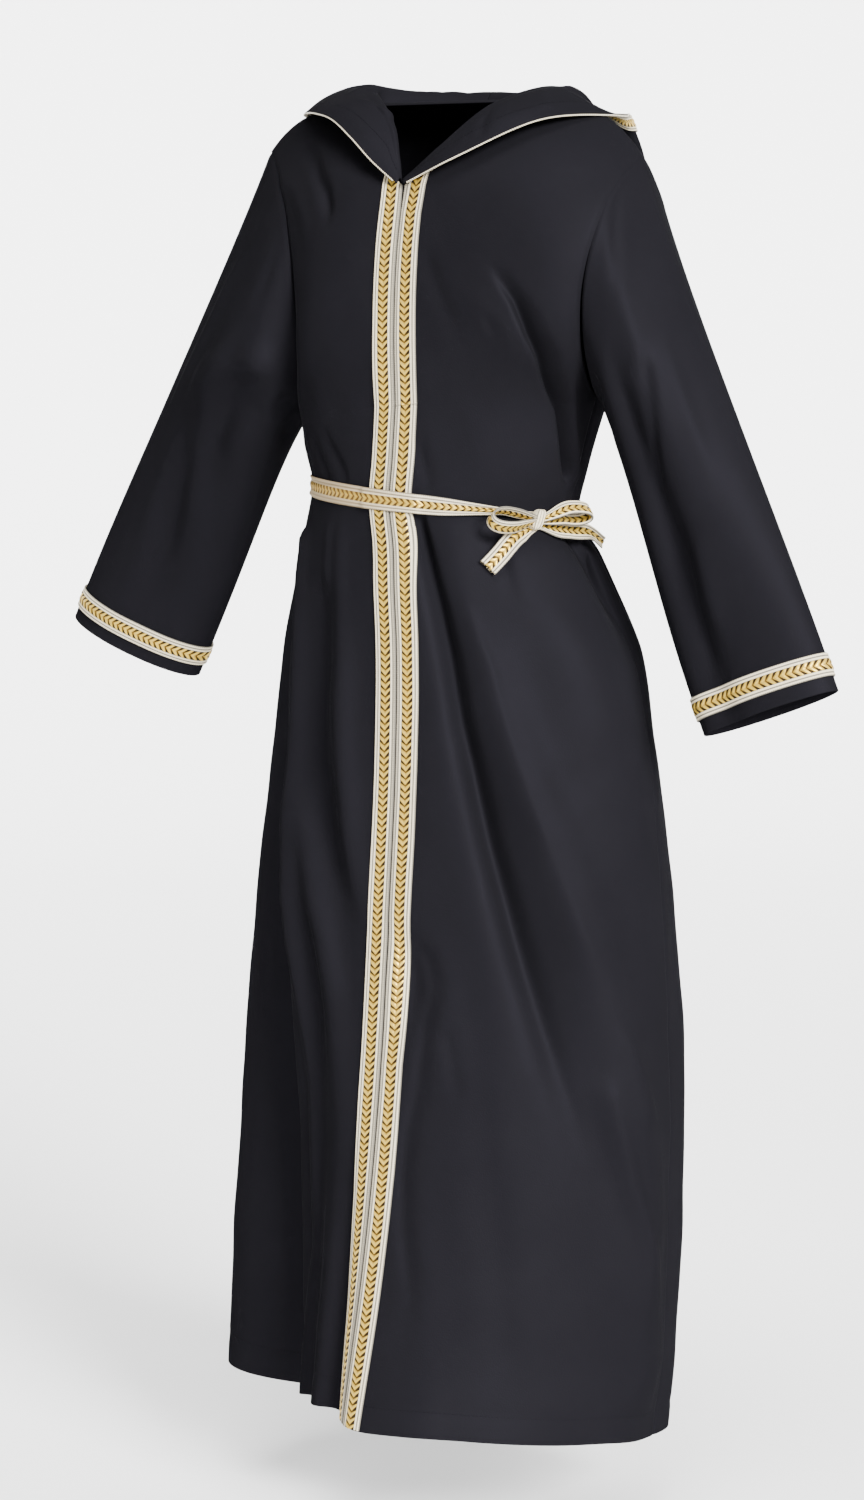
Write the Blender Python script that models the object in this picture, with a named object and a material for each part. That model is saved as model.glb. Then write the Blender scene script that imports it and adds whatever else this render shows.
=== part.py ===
"""A child's hooded abaya in black crepe with woven braid, as it hangs when worn.

The garment is hollow: two fronts that meet edge to edge, one back, two set-in sleeves and a
hood that lies down on the shoulders and back. Braid runs down both front edges, round both
cuffs and along the outer side of the hood's face edge, and a braid belt is tied in a bow.
Metres, +Z up, the front looks along -Y, and +X is the wearer's left. The origin is the
middle of the neck, level with the tops of the shoulders.
"""
import math

import bpy
import numpy as np

for old in list(bpy.data.objects):
    bpy.data.objects.remove(old, do_unlink=True)

# Walls and seams.
CLOTH = 0.0016
TAPE = 0.0014
SEAM_GAP = 0.0003

# Braid tapes and the belt.
BAND_WIDTH = 0.0178
BAND_TOP_ROWS = (0.685, 0.722, 0.755)
BAND_TOP_PLACES = (0.0, 0.036, 0.048)
CUFF_BAND_WIDTH = 0.0178
CUFF_EDGE = 0.0105
HOOD_BAND_WIDTH = 0.0172
PIPING = 0.0016
BELT_TOP = -0.2975
BELT_BOTTOM = -0.3125
BELT_CLOTH = 0.0015
BELT_LIFT = 0.0004

# Levels of the skirt and bodice rings, from the underarm to the hem.
UNDERARM = -0.235
HEM = -1.0
LEVELS = (UNDERARM, -0.262, -0.283, BELT_TOP, BELT_BOTTOM, -0.335, -0.367, -0.407, -0.452,
          -0.502, -0.557, -0.615, -0.675, -0.735, -0.795, -0.85, -0.90, -0.945, -0.978, HEM)

# Rings of the body: level, half width, depth in front, depth behind, shift to the left.
BODY = (
    (UNDERARM, 0.1240, 0.085, 0.088, -0.002),
    (-0.275, 0.1120, 0.088, 0.084, -0.003),
    (-0.305, 0.1050, 0.089, 0.079, -0.005),
    (-0.340, 0.1190, 0.092, 0.086, 0.000),
    (-0.370, 0.1300, 0.096, 0.093, 0.003),
    (-0.410, 0.1420, 0.100, 0.099, 0.007),
    (-0.490, 0.1530, 0.105, 0.108, 0.009),
    (-0.610, 0.1630, 0.112, 0.125, 0.007),
    (-0.750, 0.1710, 0.125, 0.138, 0.005),
    (-0.900, 0.1720, 0.142, 0.150, -0.003),
    (HEM, 0.1680, 0.160, 0.158, -0.010),
)

COLUMNS = 11

# How far each level drops towards the wearer's right: level, rise at the wearer's left.
TILT = ((UNDERARM, 0.007), (-0.275, -0.002), (-0.305, -0.011), (-0.340, -0.008),
        (-0.410, 0.000), (HEM, 0.000))

# The hem's height above its level: angle from the centre front towards the left, rise.
HEM_LINE = ((-180, -0.012), (-130, -0.002), (-95, 0.011), (-60, 0.018), (-25, 0.023),
            (-9, 0.018), (0, 0.011), (25, 0.008), (48, 0.001), (72, -0.008), (98, -0.020),
            (135, -0.018), (180, -0.012))

# Side seams: level, angle of the left one, angle of the right one.
SIDE_SEAMS = ((UNDERARM, 90, -90), (-0.305, 90, -90), (-0.60, 99, -93), (HEM, 103, -95))

# Folds of the body, each along a line of three stops, as heights over the plain ring.
# level at the top, middle and foot; angle at each; height at each; half width in degrees.
FOLDS = (
    (-0.320, -0.600, -0.860, 15, 46, 73, -0.003, -0.017, 0.000, 9),
    (-0.345, -0.600, -0.960, 25, 63, 92, 0.002, 0.010, 0.007, 10),
    (-0.335, -0.650, HEM, -66, -44, -19, 0.002, 0.009, 0.008, 8),
    (-0.360, -0.650, HEM, -80, -62, -42, -0.003, -0.030, -0.056, 13),
    (-0.360, -0.650, HEM, -95, -88, -80, 0.000, 0.005, 0.010, 12),
    (-0.360, -0.500, -0.620, -26, -19, -8, 0.000, 0.007, 0.000, 7),
    (-0.500, -0.660, -0.820, -44, -23, -10, 0.000, 0.008, 0.000, 7),
    (-0.740, -0.880, HEM, -9, -10, -11, 0.000, -0.015, -0.032, 6.5),
    (-0.320, -0.360, -0.430, 82, 87, 92, 0.000, -0.007, 0.000, 8),
    (-0.610, -0.655, -0.720, 8, 14, 11, 0.000, -0.007, 0.000, 6),
    (-0.125, -0.200, -0.300, 44, 65, 78, 0.000, -0.010, -0.004, 7),
    (-0.180, -0.245, -0.295, 67, 77, 87, 0.000, 0.007, 0.003, 6),
    (-0.330, -0.620, HEM, 120, 116, 114, 0.000, 0.006, 0.010, 9),
    (-0.330, -0.640, HEM, 142, 137, 133, 0.000, -0.014, -0.026, 10),
    (-0.340, -0.660, HEM, 158, 157, 156, 0.000, 0.008, 0.016, 9),
    (-0.360, -0.700, HEM, 176, 178, 180, 0.000, -0.010, -0.020, 9),
    (-0.340, -0.660, HEM, -161, -158, -155, 0.000, 0.009, 0.017, 9),
    (-0.330, -0.640, HEM, -141, -136, -132, 0.000, -0.012, -0.024, 9),
    (-0.340, -0.660, HEM, -112, -107, -104, 0.000, 0.010, 0.018, 10),
)

# The neck and shoulders, for the wearer's left side; the right side has its own tips.
NECK_FRONT = (0.0, -0.075, -0.074)
NECK_SIDE = (0.067, 0.006, -0.008)
NAPE = (0.0, 0.052, -0.014)
SHOULDER_TIP = {1: (0.158, 0.0, -0.053), -1: (0.158, 0.0, -0.038)}
UNDERARM_RISE = {1: 0.007, -1: -0.007}
NECK_ROW = 0.7
# Pulls of the armhole's curve at the underarm and at the tip, and of the neckline's curve
# where it leaves the centre and where it reaches the neck's side, in front and behind.
ARMHOLE_FOOT_PULL = (0.012, 0.085, 0.020)
ARMHOLE_TIP_PULL = (-0.005, 0.095, -0.030)
NECKLINE_START_PULL = {-1: (0.024, 0.006, 0.024), 1: (0.024, 0.000, 0.000)}
NECKLINE_END_PULL = {-1: (0.0, -0.030, -0.008), 1: (0.0, 0.020, 0.004)}
# Folds lie level with the ring up to here, and lean over the shoulders above it.
FOLD_LEAN = -0.16
FOLD_END = 0.03
FRONT_ROWS = (0.14, 0.28, 0.42, 0.54, 0.64, NECK_ROW, 0.75, 0.80, 0.85, 0.90, 0.95, 1.0)
BACK_ROWS = (0.16, 0.31, 0.45, 0.58, NECK_ROW, 0.75, 0.80, 0.85, 0.90, 0.95, 1.0)

# Centre lines above the underarm: row, depth, height.
CENTRE_FRONT = ((0.0, -0.085, UNDERARM), (0.25, -0.0885, -0.180), (0.5, -0.085, -0.122),
                (NECK_ROW, NECK_FRONT[1], NECK_FRONT[2]))
CENTRE_BACK = ((0.0, 0.088, UNDERARM), (0.25, 0.094, -0.150), (0.45, 0.090, -0.085),
               (0.6, 0.073, -0.036), (NECK_ROW, NAPE[1], NAPE[2]))

# How each row of the yoke leaves its centre line and reaches the armhole:
# row, pull at the centre (x, y, z), pull at the armhole (x, y, z).
FRONT_PULLS = (
    (0.00, 0.0685, 0.000, 0.000, 0.000, -0.047, 0.000),
    (0.35, 0.0620, -0.002, 0.000, -0.010, -0.032, 0.004),
    (0.70, 0.0500, -0.006, -0.004, -0.040, -0.020, 0.020),
    (0.85, 0.0380, -0.010, -0.006, -0.038, -0.008, 0.016),
    (1.00, 0.0310, -0.002, -0.010, -0.031, 0.002, 0.020),
)
BACK_PULLS = (
    (0.00, 0.0685, 0.000, 0.000, 0.000, 0.0486, 0.000),
    (0.35, 0.0600, 0.002, 0.000, -0.010, 0.030, 0.004),
    (0.70, 0.0450, 0.012, -0.004, -0.045, 0.030, 0.030),
    (0.85, 0.0350, 0.010, -0.004, -0.035, 0.012, 0.020),
    (1.00, 0.0310, -0.002, -0.010, -0.031, 0.002, 0.020),
)

# Sleeves: middle of the cuff, direction to its outer edge, its half depth and its run.
CUFF_MIDDLE = {1: (0.277, -0.030, -0.455), -1: (0.3155, 0.050, -0.431)}
CUFF_EDGE_OUT = {1: (0.0515, 0.0, 0.0190), -1: (0.0575, 0.0, 0.0230)}
CUFF_DEPTH = 0.024
SLEEVE_RUN = {1: (0.397, -0.087, -0.914), -1: (0.496, 0.147, -0.856)}
SLEEVE_TOP_PULL = {1: (0.010, 0.0, -0.045), -1: (0.006, 0.0, -0.100)}
SLEEVE_FOOT_PULL = {1: (0.030, 0.0, -0.050), -1: (0.034, 0.0, -0.044)}
SLEEVE_END_PULL = {1: 0.10, -1: 0.14}
SLEEVE_STEPS = 12

# Folds of the sleeves: side, step of the top and the foot, angle round from the top seam
# over the front at each, height, half width in degrees.
SLEEVE_FOLDS = (
    (1, 0.30, 0.72, 104, 112, -0.009, 20),
    (1, 0.62, 1.05, 116, 119, -0.007, 18),
    (1, 0.10, 0.60, 60, 75, 0.004, 22),
    (1, 0.15, 0.90, 255, 250, -0.008, 24),
    (-1, 0.12, 0.50, 122, 60, 0.007, 16),
    (-1, 0.20, 0.60, 100, 110, -0.008, 18),
    (-1, 0.50, 0.95, 70, 96, -0.006, 20),
    (-1, 0.15, 0.90, 255, 250, -0.008, 24),
)

# The hood, from the point at the front round to the centre back. At each station its
# section runs from the neck seam over a roll, down, round a turn and up to the face edge:
# station, roll, lie, turn, swell and edge, each (x, y, z).
HOOD = (
    (0.0, (0.0019, -0.0765, -0.0690), (0.0020, -0.0780, -0.0685), (0.0021, -0.0795, -0.0690),
     (0.0022, -0.0808, -0.0705), (0.0023, -0.0818, -0.0725)),
    (0.17, (0.026, -0.0680, -0.0465), (0.029, -0.0705, -0.0455), (0.0335, -0.0730, -0.0462),
     (0.041, -0.0770, -0.0485), (0.049, -0.0800, -0.0520)),
    (0.33, (0.052, -0.0400, -0.0170), (0.060, -0.0450, -0.0155), (0.070, -0.0490, -0.0170),
     (0.084, -0.0510, -0.0215), (0.097, -0.0490, -0.0270)),
    (0.50, (0.070, 0.0060, -0.0010), (0.085, 0.0060, 0.0000), (0.100, 0.0060, -0.0060),
     (0.115, 0.0060, -0.0140), (0.130, 0.0060, -0.0215)),
    (0.56, (0.068, 0.0190, -0.0005), (0.086, 0.0230, 0.0000), (0.102, 0.0280, -0.0130),
     (0.118, 0.0310, -0.0220), (0.133, 0.0260, -0.0215)),
    (0.60, (0.066, 0.0260, -0.0005), (0.087, 0.0340, -0.0010), (0.103, 0.0450, -0.0240),
     (0.121, 0.0480, -0.0280), (0.129, 0.0370, -0.0195)),
    (0.64, (0.063, 0.0350, -0.0005), (0.086, 0.0480, -0.0040), (0.103, 0.0690, -0.0450),
     (0.120, 0.0700, -0.0370), (0.123, 0.0510, -0.0190)),
    (0.72, (0.055, 0.0480, 0.0000), (0.080, 0.0790, -0.0210), (0.100, 0.1060, -0.0960),
     (0.110, 0.1130, -0.0660), (0.105, 0.0790, -0.0170)),
    (0.85, (0.031, 0.0610, 0.0010), (0.050, 0.0950, -0.0560), (0.068, 0.1170, -0.1720),
     (0.072, 0.1380, -0.1000), (0.064, 0.1090, -0.0140)),
    (1.00, (0.0, 0.0650, 0.0015), (0.0, 0.1010, -0.0800), (0.0, 0.1180, -0.2060),
     (0.0, 0.1500, -0.1180), (0.0, 0.1200, -0.0130)),
)
HOOD_RISE = {1: 0.0, -1: 0.006}
HOOD_START = 0.709
HOOD_STOPS = (0.0, 0.12, 0.32, 0.58, 0.80, 1.0)
HOOD_DOWN = (0.0, 0.06, 0.12, 0.19, 0.28, 0.38, 0.48, 0.545, 0.58)
HOOD_UP = (0.06, 0.22, 0.45, 0.70, 1.0)
# The stations between which rows change from even ones to those that suit the turn.
HOOD_FOLDED = (0.15, 0.45)
# Columns behind the shoulder draw together towards it by this power.
HOOD_GATHER = 1.3
# The braid at the hood's edge, from its inner row outwards, in seam gaps over the cloth.
HOOD_TRIM_LIFTS = (1.0, 2.0, 3.0)

# The bow, at the wearer's left of the centre front.
BOW_ANGLE = 66.5
BOW_LEVEL = -0.3085
KNOT = (0.0065, 0.0050, 0.0080)
KNOT_ROUNDING = 0.6
KNOT_LIFT = 0.0061
LOOP_REACH = 0.044
LOOP_LIFT = 0.0020
LOOP_FLARE = 0.0048
LOOP_ROOT = 0.0009
LOOP_SPREAD = 0.0062
LOOP_DROOP = 0.0020
LOOP_WIDTH = 0.0135
LOOP_LEAN = 0.62
TAIL_WIDTH = 0.0150
TAIL_START = 0.0070
# Tails: angles, levels and lifts at the knot, at a third, two thirds and the end.
TAILS = {
    "belt_tail_right": ((65.0, 56.0, 44.0, 32.0), (-0.3240, -0.3310, -0.3410, -0.3530),
                        (0.0060, 0.0048, 0.0042, 0.0034)),
    "belt_tail_left": ((69.6, 77.0, 87.0, 98.0), (-0.3180, -0.3268, -0.3312, -0.3340),
                       (0.0032, 0.0028, 0.0040, 0.0052)),
}

BLACK = (0.020, 0.020, 0.026)
GOLD = (0.60, 0.38, 0.11)
FINISHES = {
    "crepe": (BLACK, 0.78, 0.0),
    "braid": (GOLD, 0.42, 0.55),
}


def smooth(low, high, value):
    """0 below low, 1 above high, and an S-shaped ramp between them."""
    step = np.clip((np.asarray(value, float) - low) / (high - low), 0.0, 1.0)
    return step * step * (3.0 - 2.0 * step)


def through(stops, values, at):
    """A smooth curve through values at stops (cubic pieces), read at the places in at."""
    stops = np.asarray(stops, float)
    values = np.asarray(values, float)
    at = np.clip(np.asarray(at, float), stops[0], stops[-1])
    slopes = np.gradient(values, stops, axis=0)
    k = np.clip(np.searchsorted(stops, at, side="right") - 1, 0, len(stops) - 2)
    span = stops[k + 1] - stops[k]
    f = (at - stops[k]) / span
    if values.ndim > 1:
        f = f[..., None]
        span = span[..., None]
    return ((1 + 2 * f) * (1 - f) ** 2 * values[k] + f * (1 - f) ** 2 * span * slopes[k]
            + f * f * (3 - 2 * f) * values[k + 1] + f * f * (f - 1) * span * slopes[k + 1])


def column(table, at):
    """Every column of a table after its first, read smoothly at the given places."""
    rows = np.array(table, float)
    return np.moveaxis(through(rows[:, 0], rows[:, 1:], at), -1, 0)


def falling(table, level):
    """The columns of a table whose first column falls from the neck to the hem."""
    rows = np.array(table, float)
    return np.moveaxis(through(-rows[:, 0], rows[:, 1:], -np.asarray(level, float)), -1, 0)


def pulled(start, start_pull, end, end_pull, f):
    """A cubic curve from start to end that leaves and arrives along the two pulls."""
    f = np.asarray(f, float)[..., None]
    return ((1 - f) ** 3 * start + 3 * (1 - f) ** 2 * f * (start + start_pull)
            + 3 * (1 - f) * f * f * (end + end_pull) + f ** 3 * end)


def unit(vectors):
    """Vectors at length one."""
    return vectors / np.maximum(np.linalg.norm(vectors, axis=-1, keepdims=True), 1e-12)


def fold_height(points):
    """The height of all body folds at points, from their angle and level."""
    z = points[..., 2]
    angle = np.degrees(np.arctan2(points[..., 0], -points[..., 1]))
    height = np.zeros(z.shape)
    for top, middle, foot, a0, a1, a2, h0, h1, h2, width in FOLDS:
        stops = (-top, -middle, -foot)
        centre = through(stops, (a0, a1, a2), -z)
        size = through(stops, (h0, h1, h2), -z)
        ends = smooth(top + FOLD_END, top - FOLD_END, z)
        if foot > HEM:
            ends = ends * smooth(foot - 2 * FOLD_END, foot, z)
        away = (angle - centre + 180.0) % 360.0 - 180.0
        height = height + ends * size * np.exp(-(away / width) ** 2)
    return height


def raised(points):
    """Body points moved out by the folds, level with the ring or up over the shoulders."""
    away = np.array(points)
    away[..., 2] = np.maximum(points[..., 2] - FOLD_LEAN, 0.0)
    return points + unit(away) * fold_height(points)[..., None]


def ring_points(level, angle):
    """Plain points of the body below the underarm, for levels and angles in degrees."""
    half_width, front, back, shift = falling(BODY, level)
    turn = np.radians(angle)
    depth = np.where(np.cos(turn) > 0, front, back)
    tilt = falling(TILT, level)[0]
    hem = column(HEM_LINE, (angle + 180.0) % 360.0 - 180.0)[0] * smooth(-0.78, HEM, level)
    x = shift + half_width * np.sin(turn)
    y = -depth * np.cos(turn)
    return np.stack([x, y, level + tilt * np.sin(turn) + hem], axis=-1)


def armhole(side, face, row):
    """The armhole edge on the front (face -1) or back (face 1), underarm to shoulder tip."""
    tip = np.array(SHOULDER_TIP[side])
    foot = np.array((BODY[0][1], 0.0, UNDERARM + UNDERARM_RISE[side]))
    way = np.array((1, face, 1))
    return pulled(foot, ARMHOLE_FOOT_PULL * way, tip, ARMHOLE_TIP_PULL * way, row)


def centre_edge(face, row):
    """The centre line up to the neck, and then the neckline round to the neck's side."""
    row = np.asarray(row, float)
    table = CENTRE_FRONT if face < 0 else CENTRE_BACK
    start = NECK_FRONT if face < 0 else NAPE
    depth, height = column(table, row)
    middle = np.stack([np.zeros(row.shape), depth, height], axis=-1)
    along = np.clip((row - NECK_ROW) / (1.0 - NECK_ROW), 0.0, 1.0)
    neck = pulled(np.array(start), np.array(NECKLINE_START_PULL[face]), np.array(NECK_SIDE),
                  np.array(NECKLINE_END_PULL[face]), along)
    return np.where((row > NECK_ROW)[..., None], neck, middle)


def yoke_points(side, face, row, across):
    """Plain points between the centre edge (across 0) and the armhole (across 1)."""
    pulls = column(FRONT_PULLS if face < 0 else BACK_PULLS, row)
    start_pull = np.moveaxis(pulls[:3], 0, -1)
    end_pull = np.moveaxis(pulls[3:], 0, -1)
    points = pulled(centre_edge(face, row), start_pull, armhole(side, face, row), end_pull,
                    across)
    points[..., 0] = points[..., 0] * side + BODY[0][4] * (1.0 - np.asarray(row)) ** 2
    return points


def panel_row(side, face, place, across):
    """One row of plain points: place is a level below the underarm or a yoke row above."""
    across = np.asarray(across, float)
    if place > 0:
        return yoke_points(side, face, np.full(across.shape, place), across)
    seams = falling(SIDE_SEAMS, place)
    seam = seams[0] if side > 0 else -seams[1]
    centre = 0.0 if face < 0 else 180.0
    angle = side * (centre + (seam - centre) * across)
    return ring_points(np.full(across.shape, place), angle)


def band_share(side, place):
    """The part of a front's row that the braid covers."""
    fine = np.linspace(0.0, 1.0, 61)
    points = raised(panel_row(side, -1, place, fine))
    run = np.concatenate([[0.0], np.cumsum(np.linalg.norm(np.diff(points, axis=0), axis=1))])
    return float(np.interp(BAND_WIDTH, run, fine))


def across_places(share):
    """Places across a row: two columns under the braid, and even ones on to the side."""
    return np.concatenate([[0.0, share / 2], np.linspace(share, 1.0, COLUMNS)])


def front_grid(side):
    """A front panel: rows from shoulder to hem, columns in the order of rising angle."""
    rows = []
    for place in tuple(reversed(FRONT_ROWS)) + LEVELS:
        across = across_places(band_share(side, min(place, NECK_ROW)))
        rows.append(raised(panel_row(side, -1, place, across))[::side])
    return np.array(rows)


def back_grids():
    """The two halves of the back: rows from shoulders to hem, meeting below the nape."""
    halves = []
    for side in (1, -1):
        across = across_places(band_share(side, NECK_ROW))
        rows = [raised(panel_row(side, 1, place, across))[::-side]
                for place in tuple(reversed(BACK_ROWS)) + LEVELS]
        halves.append(np.array(rows))
    return halves


def sleeve_grid(side):
    """A sleeve: the first ring is the armhole, the last is the cuff's edge."""
    front = np.array((0.0,) + FRONT_ROWS)
    back = np.array((0.0,) + BACK_ROWS)
    ring = np.concatenate([armhole(side, -1, front)[::-1], armhole(side, 1, back)[1:-1]])
    angle = np.concatenate([180 * (1 - front[::-1]), 180 * (1 + back[1:-1])])
    ring[:, 0] = ring[:, 0] * side + BODY[0][4] * (1 - np.abs(1 - angle / 180)) ** 2
    ring = raised(ring)
    if side > 0:
        ring = np.roll(ring[::-1], 1, axis=0)
        angle = np.roll(angle[::-1], 1)
    mirror = np.array((side, 1.0, 1.0))
    run = unit(np.array(SLEEVE_RUN[side])) * mirror
    out = np.array(CUFF_EDGE_OUT[side]) * mirror
    fore = unit(np.cross(out, run)) * CUFF_DEPTH
    if fore[1] > 0:
        fore = -fore
    turn = np.radians(angle)[:, None]
    cuff = np.array(CUFF_MIDDLE[side]) * mirror + np.cos(turn) * out + np.sin(turn) * fore
    strip = CUFF_EDGE + CUFF_BAND_WIDTH
    over = 0.5 + 0.5 * np.cos(turn)
    start_pull = (over * np.array(SLEEVE_TOP_PULL[side])
                  + (1 - over) * np.array(SLEEVE_FOOT_PULL[side])) * mirror
    rings = []
    for step in np.linspace(0.0, 1.0, SLEEVE_STEPS + 1):
        rings.append(pulled(ring, start_pull, cuff - run * strip, -run * SLEEVE_END_PULL[side],
                            step))
    steps = list(np.linspace(0.0, 1.0, SLEEVE_STEPS + 1))
    for down in (CUFF_BAND_WIDTH / 2, CUFF_BAND_WIDTH, strip):
        rings.append(cuff - run * (strip - down))
        steps.append(1.0 + down)
    grid = np.array(rings)
    height = np.zeros(grid.shape[:2])
    place = np.array(steps)[:, None]
    for which, top, foot, first, last, size, width in SLEEVE_FOLDS:
        if which != side:
            continue
        along = (place - top) / (foot - top)
        ends = smooth(-0.25, 0.25, along) * smooth(1.25, 0.75, along)
        away = (angle - first - (last - first) * along + 180) % 360 - 180
        height = height + ends * size * np.exp(-(away / width) ** 2)
    height = height * smooth(0.0, 0.15, place)
    return grid + normals_of(grid, closed=True) * height[..., None]


def normals_of(grid, closed=False):
    """Unit normals at a grid's points, from the steps along its rows and columns."""
    if closed:
        wide = np.concatenate([grid[:, -1:], grid, grid[:, :1]], axis=1)
        along = wide[:, 2:] - wide[:, :-2]
    else:
        along = np.gradient(grid, axis=1)
    down = np.gradient(grid, axis=0)
    return unit(np.cross(down, along))


def hood_grid(side):
    """A hood half: rows from the neck seam to the face edge, columns front to back."""
    front_rows = [HOOD_START] + [row for row in FRONT_ROWS if row > NECK_ROW]
    back_rows = [row for row in BACK_ROWS if row >= NECK_ROW]
    seam = np.concatenate([centre_edge(-1, np.array(front_rows)),
                           centre_edge(1, np.array(back_rows[::-1]))[1:]])
    behind = np.linspace(0.0, 1.0, len(back_rows)) ** HOOD_GATHER
    station = np.concatenate([np.linspace(0.0, 0.5, len(front_rows)), 0.5 + behind[1:] / 2])
    table = np.array([np.concatenate(row[1:]) for row in HOOD])
    stops = through([row[0] for row in HOOD], table, station).reshape(len(seam), 5, 3)
    sections = []
    for start, rest, at in zip(seam, stops, station):
        nodes = np.concatenate([start[None], rest])
        stretch = np.linspace(0.0, 1.0, 201)
        fine = through(HOOD_STOPS, nodes, stretch)
        run = np.concatenate([[0.0], np.cumsum(np.linalg.norm(np.diff(fine, axis=0), axis=1))])
        turned = np.interp(HOOD_DOWN[-1], stretch, run)
        band = min(HOOD_BAND_WIDTH, (run[-1] - turned) * 0.9)
        folded = np.concatenate([np.interp(HOOD_DOWN, stretch, run),
                                 turned + (run[-1] - band - turned) * np.array(HOOD_UP)])
        even = np.linspace(0.0, run[-1] - band, len(folded))
        places = even + (folded - even) * smooth(*HOOD_FOLDED, at)
        places = np.append(places, (run[-1] - band / 2, run[-1]))
        sections.append(np.stack([np.interp(places, run, fine[:, k]) for k in range(3)], -1))
    grid = np.array(sections).transpose(1, 0, 2)
    from_seam = np.linspace(0.0, 1.0, len(grid))[:, None] ** 0.5
    grid[..., 2] += (HOOD_RISE[side] * smooth(0.1, 0.45, station) * smooth(1.0, 0.6, station)
                     * from_seam)
    grid = grid * np.array((side, 1.0, 1.0))
    return grid[:, ::-side]


class Sheet:
    """A surface of welded grids, with a normal at each point, that becomes a wall.

    Its squares are cut from corner to corner, and along the other diagonal where mirrored.
    """

    def __init__(self, grids, closed=False, mirrored=False):
        self.points = np.zeros((0, 3))
        self.grids = []
        self.faces = []
        seen = {}
        for grid in grids:
            index = np.zeros(grid.shape[:2], int)
            for i in range(grid.shape[0]):
                for j in range(grid.shape[1]):
                    key = tuple(np.round(grid[i, j] * 1e6).astype(int).tolist())
                    index[i, j] = seen.setdefault(key, len(seen))
            count = len(seen)
            points = np.zeros((count, 3))
            points[:len(self.points)] = self.points
            points[index.ravel()] = grid.reshape(-1, 3)
            self.points = points
            self.grids.append(index)
            last = index.shape[1] if closed else index.shape[1] - 1
            for i in range(index.shape[0] - 1):
                for j in range(last):
                    k = (j + 1) % index.shape[1]
                    a, b = index[i, j], index[i, k]
                    c, d = index[i + 1, k], index[i + 1, j]
                    halves = ((a, d, b), (b, d, c)) if mirrored else ((a, d, c), (a, c, b))
                    for face in halves:
                        if len(set(face)) == 3:
                            self.faces.append(face)
        self.normals = self.face_sums()

    def face_sums(self):
        """Unit normals at the points, as the sums of their faces' area normals."""
        faces = np.array(self.faces)
        a, b, c = (self.points[faces[:, k]] for k in range(3))
        area = np.cross(b - a, c - a)
        sums = np.zeros(self.points.shape)
        for k in range(3):
            np.add.at(sums, faces[:, k], area)
        return unit(sums)

    def rim(self):
        """The directed edges that only one face has."""
        edges = set()
        for a, b, c in self.faces:
            edges.update(((a, b), (b, c), (c, a)))
        return [edge for edge in edges if edge[::-1] not in edges]

    def part_seams(self):
        """Move the rim in by half the seam's gap, along the surface."""
        inward = np.zeros(self.points.shape)
        for a, b in self.rim():
            side = unit(self.points[b] - self.points[a])
            for k in (a, b):
                inward[k] += np.cross(self.normals[k], side)
        length = np.linalg.norm(inward, axis=1, keepdims=True)
        moved = np.where(length > 0, inward / np.maximum(length, 1e-9), 0.0)
        self.points = self.points + moved * (SEAM_GAP / 2)

    def wall(self, name, kind, low, high):
        """The closed wall between this surface moved along its normals by low and high."""
        count = len(self.points)
        points = np.concatenate([self.points + self.normals * high,
                                 self.points + self.normals * low])
        faces = list(self.faces)
        faces += [(c + count, b + count, a + count) for a, b, c in self.faces]
        slope = np.abs(self.points) @ np.array((0.11, 0.0, 0.0)) + self.points[:, 1:] @ (0.37, 1)
        for a, b in sorted(self.rim()):
            if slope[a] < slope[b]:
                faces += [(b, a, a + count), (b, a + count, b + count)]
            else:
                faces += [(b, a, b + count), (a, a + count, b + count)]
        return solid(name, kind, points, faces)


def share_normals(sheets):
    """Give points that lie together on different sheets one normal between them.

    Where one sheet turns back sharply from the other, as in the armpit, each keeps its own.
    """
    together = {}
    for sheet in sheets:
        for k, point in enumerate(np.round(sheet.points * 1e5).astype(int).tolist()):
            together.setdefault(tuple(point), []).append((sheet, k))
    for group in together.values():
        own = np.array([sheet.normals[k] for sheet, k in group])
        alike = own @ own.T > 0.15
        for (sheet, k), near in zip(group, alike):
            sheet.normals[k] = unit(own[near].sum(axis=0))


def laid_on(sheet, grid, lift):
    """A sheet over part of another one's grid, moved out by lift along its normals."""
    points = sheet.points[grid] + sheet.normals[grid] * np.asarray(lift)[..., None]
    return points, sheet.normals[grid]


def tape(name, kind, points, normals, thickness, closed=False, mirrored=False):
    """A wall on points that keeps the normals of what it lies on."""
    sheet = Sheet([points], closed, mirrored)
    sheet.normals[sheet.grids[0].ravel()] = normals.reshape(-1, 3)
    return sheet.wall(name, kind, 0.0, thickness)


def finish(name, kind):
    """A material with the finish's colour, roughness and metallic value."""
    colour, roughness, metallic = FINISHES[kind]
    material = bpy.data.materials.new(name)
    material.use_nodes = True
    shader = material.node_tree.nodes["Principled BSDF"]
    shader.inputs["Base Color"].default_value = (*colour, 1.0)
    shader.inputs["Roughness"].default_value = roughness
    shader.inputs["Metallic"].default_value = metallic
    material.diffuse_color = (*colour, 1.0)
    return material


def solid(name, kind, points, faces):
    """An object from points and triangles, smooth but for its sharp edges."""
    mesh = bpy.data.meshes.new(name)
    mesh.from_pydata([tuple(p) for p in points.tolist()], [],
                     [tuple(int(k) for k in face) for face in faces])
    mesh.update()
    mesh.shade_smooth()
    mesh.set_sharp_from_angle(angle=math.radians(50))
    piece = bpy.data.objects.new(name, mesh)
    bpy.context.scene.collection.objects.link(piece)
    mesh.materials.append(finish(name, kind))
    return piece


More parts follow.
